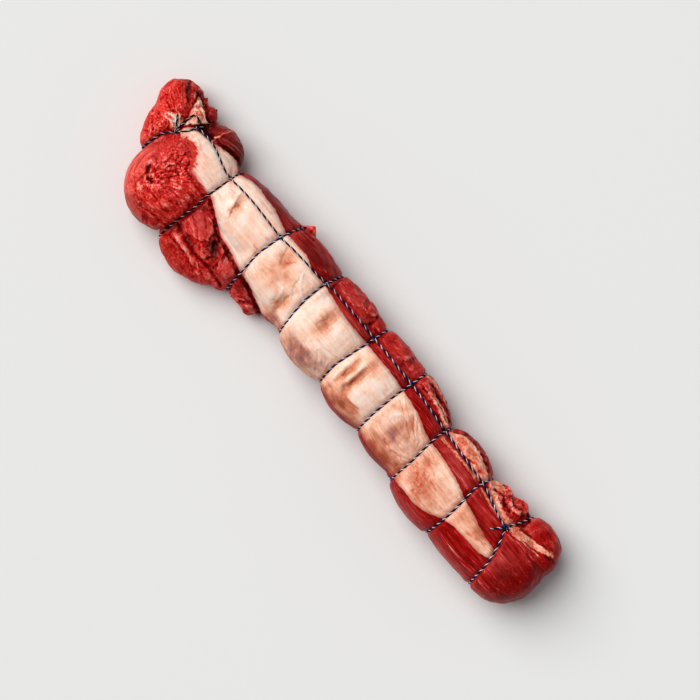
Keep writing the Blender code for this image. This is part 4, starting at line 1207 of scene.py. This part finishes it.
START_END = ((37, 13.5), (33.5, 16.5), (30.5, 20), (28.5, 22))
LAST_KNOT = (458.5, 11.5)
LAST_END = ((457.5, 10.5), (455, 7.5), (453, 4.5), (451, 2))
KNOT_LIFT = 1.4
END_LIFT = 1.2
KNOT_TURN_RADIUS = 1.35
KNOT_TURN_POINTS = 14
KNOT_STANDS = 0.9  # the height of a knot's middle over the twine that it holds
SKY = 200.0  # a height above everything, to drop rays from

every_row = np.arange(len(displaced) * COLUMNS).reshape(-1, COLUMNS)
skin_tree = BVHTree.FromPolygons(displaced.reshape(-1, 3).tolist(), tube_quads(every_row).tolist())


def rest_height(x, y):
    """The height of the twine's middle where it lies on the meat and bridges what is narrower than it."""
    height = -math.inf
    for distance in (0.0, 0.4, 0.8):
        for turn in np.radians(np.arange(0, 360, 60)):
            above = Vector((x + distance * math.cos(turn), y + distance * math.sin(turn), SKY))
            hit = skin_tree.ray_cast(above, Vector((0, 0, -1)))[0]
            if hit:
                height = max(height, hit.z + math.sqrt(TWINE_RADIUS ** 2 - distance ** 2))
    return height - PRESSED_IN


def evenly(route, step, closed=False):
    """A route's points spaced evenly along it."""
    route = np.asarray(route, float)
    if closed:
        route = np.concatenate([route, route[:1]])
    length = np.concatenate([[0], np.cumsum(np.linalg.norm(np.diff(route, axis=0), axis=1))])
    steps = max(3, round(length[-1] / step))
    at = np.linspace(0, length[-1], steps + 1)[:steps if closed else steps + 1]
    return np.stack([np.interp(at, length, route[:, axis]) for axis in range(route.shape[1])], -1)


def eased(route, passes, closed=False):
    """A route with its corners rounded by moving means of three points."""
    for _ in range(passes):
        if closed:
            route = (np.roll(route, 1, 0) + 2 * route + np.roll(route, -1, 0)) / 4
        else:
            route = np.concatenate([route[:1], (route[:-2] + 2 * route[1:-1] + route[2:]) / 4, route[-1:]])
    return route


def tie_route(number):
    """A tie's middle line: the groove's ring pulled tight to its convex outline, square to the roll."""
    row = tie_rows[number]
    ring, angle = displaced[row], angles[row]
    ways = square_ways(np.radians(np.arange(0, 360, 0.5)))[:, 1:].T
    hull = (ring[:, 1:] @ ways).max(0) + TWINE_RADIUS - PRESSED_IN
    start = along_spine(tie_x(TIES[number], angle))
    way = square_ways(angle)
    towards = way[:, 1:] @ ways
    room = np.where(towards > 0.05, (hull - start[:, 1:] @ ways) / np.maximum(towards, 0.05), np.inf)
    reach = room.min(1)
    if number == 0:
        middle_angle, spread, depth = FIRST_TIE_DIVES
        off = (np.degrees(angle) - middle_angle + 180) % 360 - 180
        reach = reach + FIRST_TIE_STANDS - (depth + FIRST_TIE_STANDS) * np.exp(-(off / spread) ** 4)
    route = start + way * reach[:, None]
    route[:, 0] = tie_x(TIES[number], angle)
    return eased(evenly(route, PLY_STEP, True), 6, True)


def laid_route(points, lift=(0, 0), ties=(), tightening=0):
    """A run of twine lying on the meat, from x and y points, pulled straight over the hollows."""
    flat = eased(evenly(points, 1.0), 12)
    height = np.array([rest_height(x, y) for x, y in flat]) + np.linspace(lift[0], lift[1], len(flat))
    held = {}
    for tie in ties:
        upper = tie[tie[:, 2] > SPINE[0][2]]
        upper = upper[np.argsort(upper[:, 1])]
        crossing = np.abs(flat[:, 0] - np.interp(flat[:, 1], upper[:, 1], upper[:, 0])).argmin()
        held[crossing] = np.interp(flat[crossing, 1], upper[:, 1], upper[:, 2]) + 2 * RUN_OVER_TIE
    for _ in range(tightening):
        height[list(held)] = list(held.values())
        height[1:-1] = np.maximum(height[1:-1], (height[:-2] + height[2:]) / 2)
        height[list(held)] = list(held.values())
    return eased(evenly(np.column_stack([flat, height]), PLY_STEP), 3)


def knot_rings(middle, facing_angle, count=2, slide=1.15, radius=KNOT_TURN_RADIUS):
    """The tight turns of a knot: short leaning rings of twine, side by side along a way."""
    angle = np.arange(KNOT_TURN_POINTS) * 2 * math.pi / KNOT_TURN_POINTS
    height = rest_height(*middle) + KNOT_STANDS
    cos, sin = math.cos(math.radians(facing_angle)), math.sin(math.radians(facing_angle))
    rings = []
    for turn in range(count):
        shift = (turn - (count - 1) / 2) * 2 * slide
        lean = 0.5 * math.sin(3 * turn + 1)
        forward, sideways = shift + lean * np.sin(angle), radius * np.cos(angle)
        rings.append(np.column_stack([middle[0] + forward * cos - sideways * sin,
                                      middle[1] + forward * sin + sideways * cos,
                                      height + radius * np.sin(angle)]))
    return rings


def ways_along(route, closed):
    """The unit way along a route at each point: from the point before towards the one after."""
    way = (np.roll(route, -1, 0) - np.roll(route, 1, 0)) if closed else np.gradient(route, axis=0)
    return way / np.linalg.norm(way, axis=1, keepdims=True)


class Plies:
    """The points and faces of one colour's plies, gathered over all the lengths of twine."""

    def __init__(self):
        self.points, self.quads, self.triangles, self.lay, self.count = [], [], [], [], 0

    def lay_up(self, route, phase, closed, radius):
        """One ply round a route: a helix, with a ring of PLY_SIDES points at each step."""
        tangent = ways_along(route, closed)
        length = np.linalg.norm(np.diff(route, axis=0), axis=1)
        along = np.concatenate([[0], np.cumsum(length)])
        total = along[-1] + (np.linalg.norm(route[-1] - route[0]) if closed else 0)
        turns = max(1, round(total / LAY_LENGTH)) if closed else total / LAY_LENGTH
        centre = route.mean(0)
        out = route - centre if closed else np.tile([0.0, 0.0, 1.0], (len(route), 1))
        out = out - (out * tangent).sum(1, keepdims=True) * tangent
        out /= np.linalg.norm(out, axis=1, keepdims=True)
        side = np.cross(tangent, out)
        turn = 2 * math.pi * (turns * along / total + phase)
        spoke = out * np.cos(turn)[:, None] + side * np.sin(turn)[:, None]
        middle = route + (TWINE_RADIUS - radius) * spoke
        way = ways_along(middle, closed)
        beside = np.cross(way, spoke)
        round_angle = np.arange(PLY_SIDES) * 2 * math.pi / PLY_SIDES
        ring = (spoke[:, None] * np.cos(round_angle)[None, :, None]
                + beside[:, None] * np.sin(round_angle)[None, :, None])
        points = middle[:, None] + radius * ring
        rows = len(route)
        at = self.count + np.arange(rows * PLY_SIDES).reshape(rows, PLY_SIDES)
        self.quads.append(tube_quads(np.concatenate([at, at[:1]]) if closed else at))
        twist = round_angle[None, :] + FIBRE_TWIST * along[:, None]
        drawn_out = np.tile(along[:, None] * FIBRE_PULL, (1, PLY_SIDES))
        self.lay.append(np.stack([np.cos(twist), np.sin(twist), drawn_out], -1).reshape(-1, 3))
        self.points.append(points.reshape(-1, 3))
        self.count += rows * PLY_SIDES
        if not closed:
            ends = self.count + np.arange(2)
            self.points.append(np.stack([middle[0] - way[0] * 0.3, middle[-1] + way[-1] * 0.3]))
            self.lay.append(np.zeros((2, 3)))
            self.triangles.append(end_fans(at, *ends))
            self.count += 2

    def piece(self, name, finish):
        """One mesh of all that was laid up."""
        made = mesh_piece(name, np.concatenate(self.points), np.concatenate(self.quads),
                          np.concatenate(self.triangles), {"lay": np.concatenate(self.lay)}, finish)
        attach(made, "root")
        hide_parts("twine")
        return made


def cotton(name, stops):
    """Spun cotton, matt and fuzzy: fibres wound round each ply, IOR about 1.5."""
    made, tree, shader = new_finish(name, {"Roughness": 0.85, "IOR": 1.5, "Specular IOR Level": 0.2})
    wound = add(tree, "Attribute", attribute_name="lay").outputs["Vector"]
    fibres = add(tree, "TexNoise", {"Vector": wound, "Scale": 2.4, "Detail": 3.0})
    colour = add(tree, "ValToRGB", {"Fac": fibres.outputs["Fac"]}, stops=stops)
    bump = add(tree, "Bump", {"Height": fibres.outputs["Fac"], "Strength": 0.6, "Distance": 0.15 * MM})
    tree.links.new(colour.outputs[0], shader.inputs["Base Color"])
    tree.links.new(bump.outputs["Normal"], shader.inputs["Normal"])
    return made


COTTONS = {
    "navy": cotton("navy_cotton", ((0.3, "#020308"), (0.75, "#14244c"), (0.5, "#080c1a"))),
    # Blue: painted sheen on navy plies.
    "blue_sheen": cotton("blue_sheen_cotton", ((0.3, "#0c1a40"), (0.75, "#3f6cc4"), (0.5, "#1c3a80"))),
    "white": cotton("white_cotton", ((0.3, "#b9aea6"), (0.7, "#fffaf2"), (0.5, "#efe6dc"))),
}
# How the plies lie: each one's colour, radius and share of a turn round the twine. The twine is
# darker at the head, and its blue painted sheen and its white show more towards the tail.
LAYS = {
    "start_knot": (("navy", 0.42, 0), ("navy", 0.4, 0.33), ("navy", 0.42, 0.66), ("white", 0.13, 0.83)),
    "last_knot": (("navy", 0.42, 0), ("blue_sheen", 0.4, 0.25), ("navy", 0.42, 0.5), ("blue_sheen", 0.4, 0.75)),
    "dark": (("navy", 0.42, 0), ("navy", 0.42, 0.32), ("navy", 0.42, 0.64), ("white", 0.18, 0.82)),
    "mixed": (("navy", 0.42, 0), ("navy", 0.41, 0.3), ("blue_sheen", 0.36, 0.58), ("white", 0.28, 0.8)),
    "pale": (("navy", 0.42, 0), ("blue_sheen", 0.38, 0.25), ("white", 0.38, 0.5), ("navy", 0.36, 0.75)),
}
KNOT_POINTS = 24  # a length with fewer points is a knot's
START_KNOT_END, LAST_KNOT_START = 48, 454
DARK_UNTIL, MIXED_UNTIL = 140, 300


def lay_for(length, closed):
    """How the plies lie in a length of twine, by where it is along the roll."""
    x = length[:, 0]
    short = len(length) < KNOT_POINTS
    if short and x.max() < START_KNOT_END:
        return LAYS["start_knot"]
    if short and closed and x.min() > LAST_KNOT_START:
        return LAYS["last_knot"]
    return LAYS["dark" if x.mean() < DARK_UNTIL else "mixed" if x.mean() < MIXED_UNTIL else "pale"]


ties = [tie_route(number) for number in range(len(TIES))]
long_run = laid_route(LONG_RUN, (0, 0), ties, 60)
HALF_WAY = 250
half_way = np.abs(long_run[:, 0] - HALF_WAY).argmin()
closed_lengths = (ties + knot_rings(START_KNOT, 70)
                  + knot_rings(LAST_KNOT, 60, count=3, slide=1.0, radius=1.6))
# Where the long run goes over a tie it takes one turn round it.
for tie in ties[1:-1]:
    upper = tie[tie[:, 2] > SPINE[0][2]]
    gap = np.linalg.norm(upper[:, None, :2] - long_run[None, :, :2], axis=-1)
    beside, crossing = np.unravel_index(gap.argmin(), gap.shape)
    closed_lengths += knot_rings(tuple(long_run[crossing, :2] - (1.0, 0)), 0, 1, radius=1.0)
open_lengths = [long_run[:half_way + 1], long_run[half_way:], laid_route(START_LOOP, (KNOT_LIFT, 0)),
                laid_route(START_END, (KNOT_LIFT, END_LIFT)), laid_route(LAST_END, (KNOT_LIFT, END_LIFT))]
plies = {colour: Plies() for colour in COTTONS}
for lengths, closed in ((closed_lengths, True), (open_lengths, False)):
    for length in lengths:
        for colour, radius, phase in lay_for(length, closed):
            plies[colour].lay_up(length, phase, closed, radius)
for colour, finish in COTTONS.items():
    plies[colour].piece("twine_" + colour, finish)

# The stage
# A plain pale floor, one large soft light from the head's side, a dim fill and a camera that
# looks straight down, turned as in the photograph.
FLOOR_SIZE = 6.0
SKY_LIGHT = 0.27
CAMERA_HEIGHT = 2.6
FRAME_WIDTH = 0.574  # metres across the picture at FOCUS_HEIGHT
FOCUS_HEIGHT = 0.035
VIEW_MIDDLE = (0.0087, 0.01345)
VIEW_TURN = math.radians(50.25)

floor_mesh = bpy.data.meshes.new("floor")
half = FLOOR_SIZE / 2
floor_mesh.from_pydata([(-half, -half, 0), (half, -half, 0), (half, half, 0), (-half, half, 0)], [],
                       [(0, 1, 2, 3)])
floor = bpy.data.objects.new("floor", floor_mesh)
bpy.context.scene.collection.objects.link(floor)
floor_mesh.materials.append(new_finish("pale_floor", {"Base Color": linear("#e4e4e2"), "Roughness": 0.6})[0])

world = bpy.data.worlds.new("studio")
world.use_nodes = True
world.node_tree.nodes["Background"].inputs["Color"].default_value = linear("#f4f5f7")
world.node_tree.nodes["Background"].inputs["Strength"].default_value = SKY_LIGHT
bpy.context.scene.world = world

# The key light: a broad soft source, given as the angle that it fills in the sky.
KEY_FROM = (-0.62, -0.08, 0.78)
KEY_SPREAD = math.radians(55)
KEY_STRENGTH = 2.52
lamp = bpy.data.lights.new("key", "SUN")
lamp.energy = KEY_STRENGTH
lamp.angle = KEY_SPREAD
key = bpy.data.objects.new("key", lamp)
key.rotation_euler = Vector(KEY_FROM).to_track_quat("Z", "Y").to_euler()
bpy.context.scene.collection.objects.link(key)

camera = bpy.data.cameras.new("camera")
camera.sensor_width = 36
camera.lens = 36 * (CAMERA_HEIGHT - FOCUS_HEIGHT) / FRAME_WIDTH
camera.clip_end = 20
seen_from = bpy.data.objects.new("camera", camera)
seen_from.location = (*VIEW_MIDDLE, CAMERA_HEIGHT)
seen_from.rotation_euler = (0, 0, VIEW_TURN)
bpy.context.scene.collection.objects.link(seen_from)
bpy.context.scene.camera = seen_from
bpy.context.scene.view_settings.view_transform = "Standard"
bpy.context.scene.view_settings.look = "Medium High Contrast"
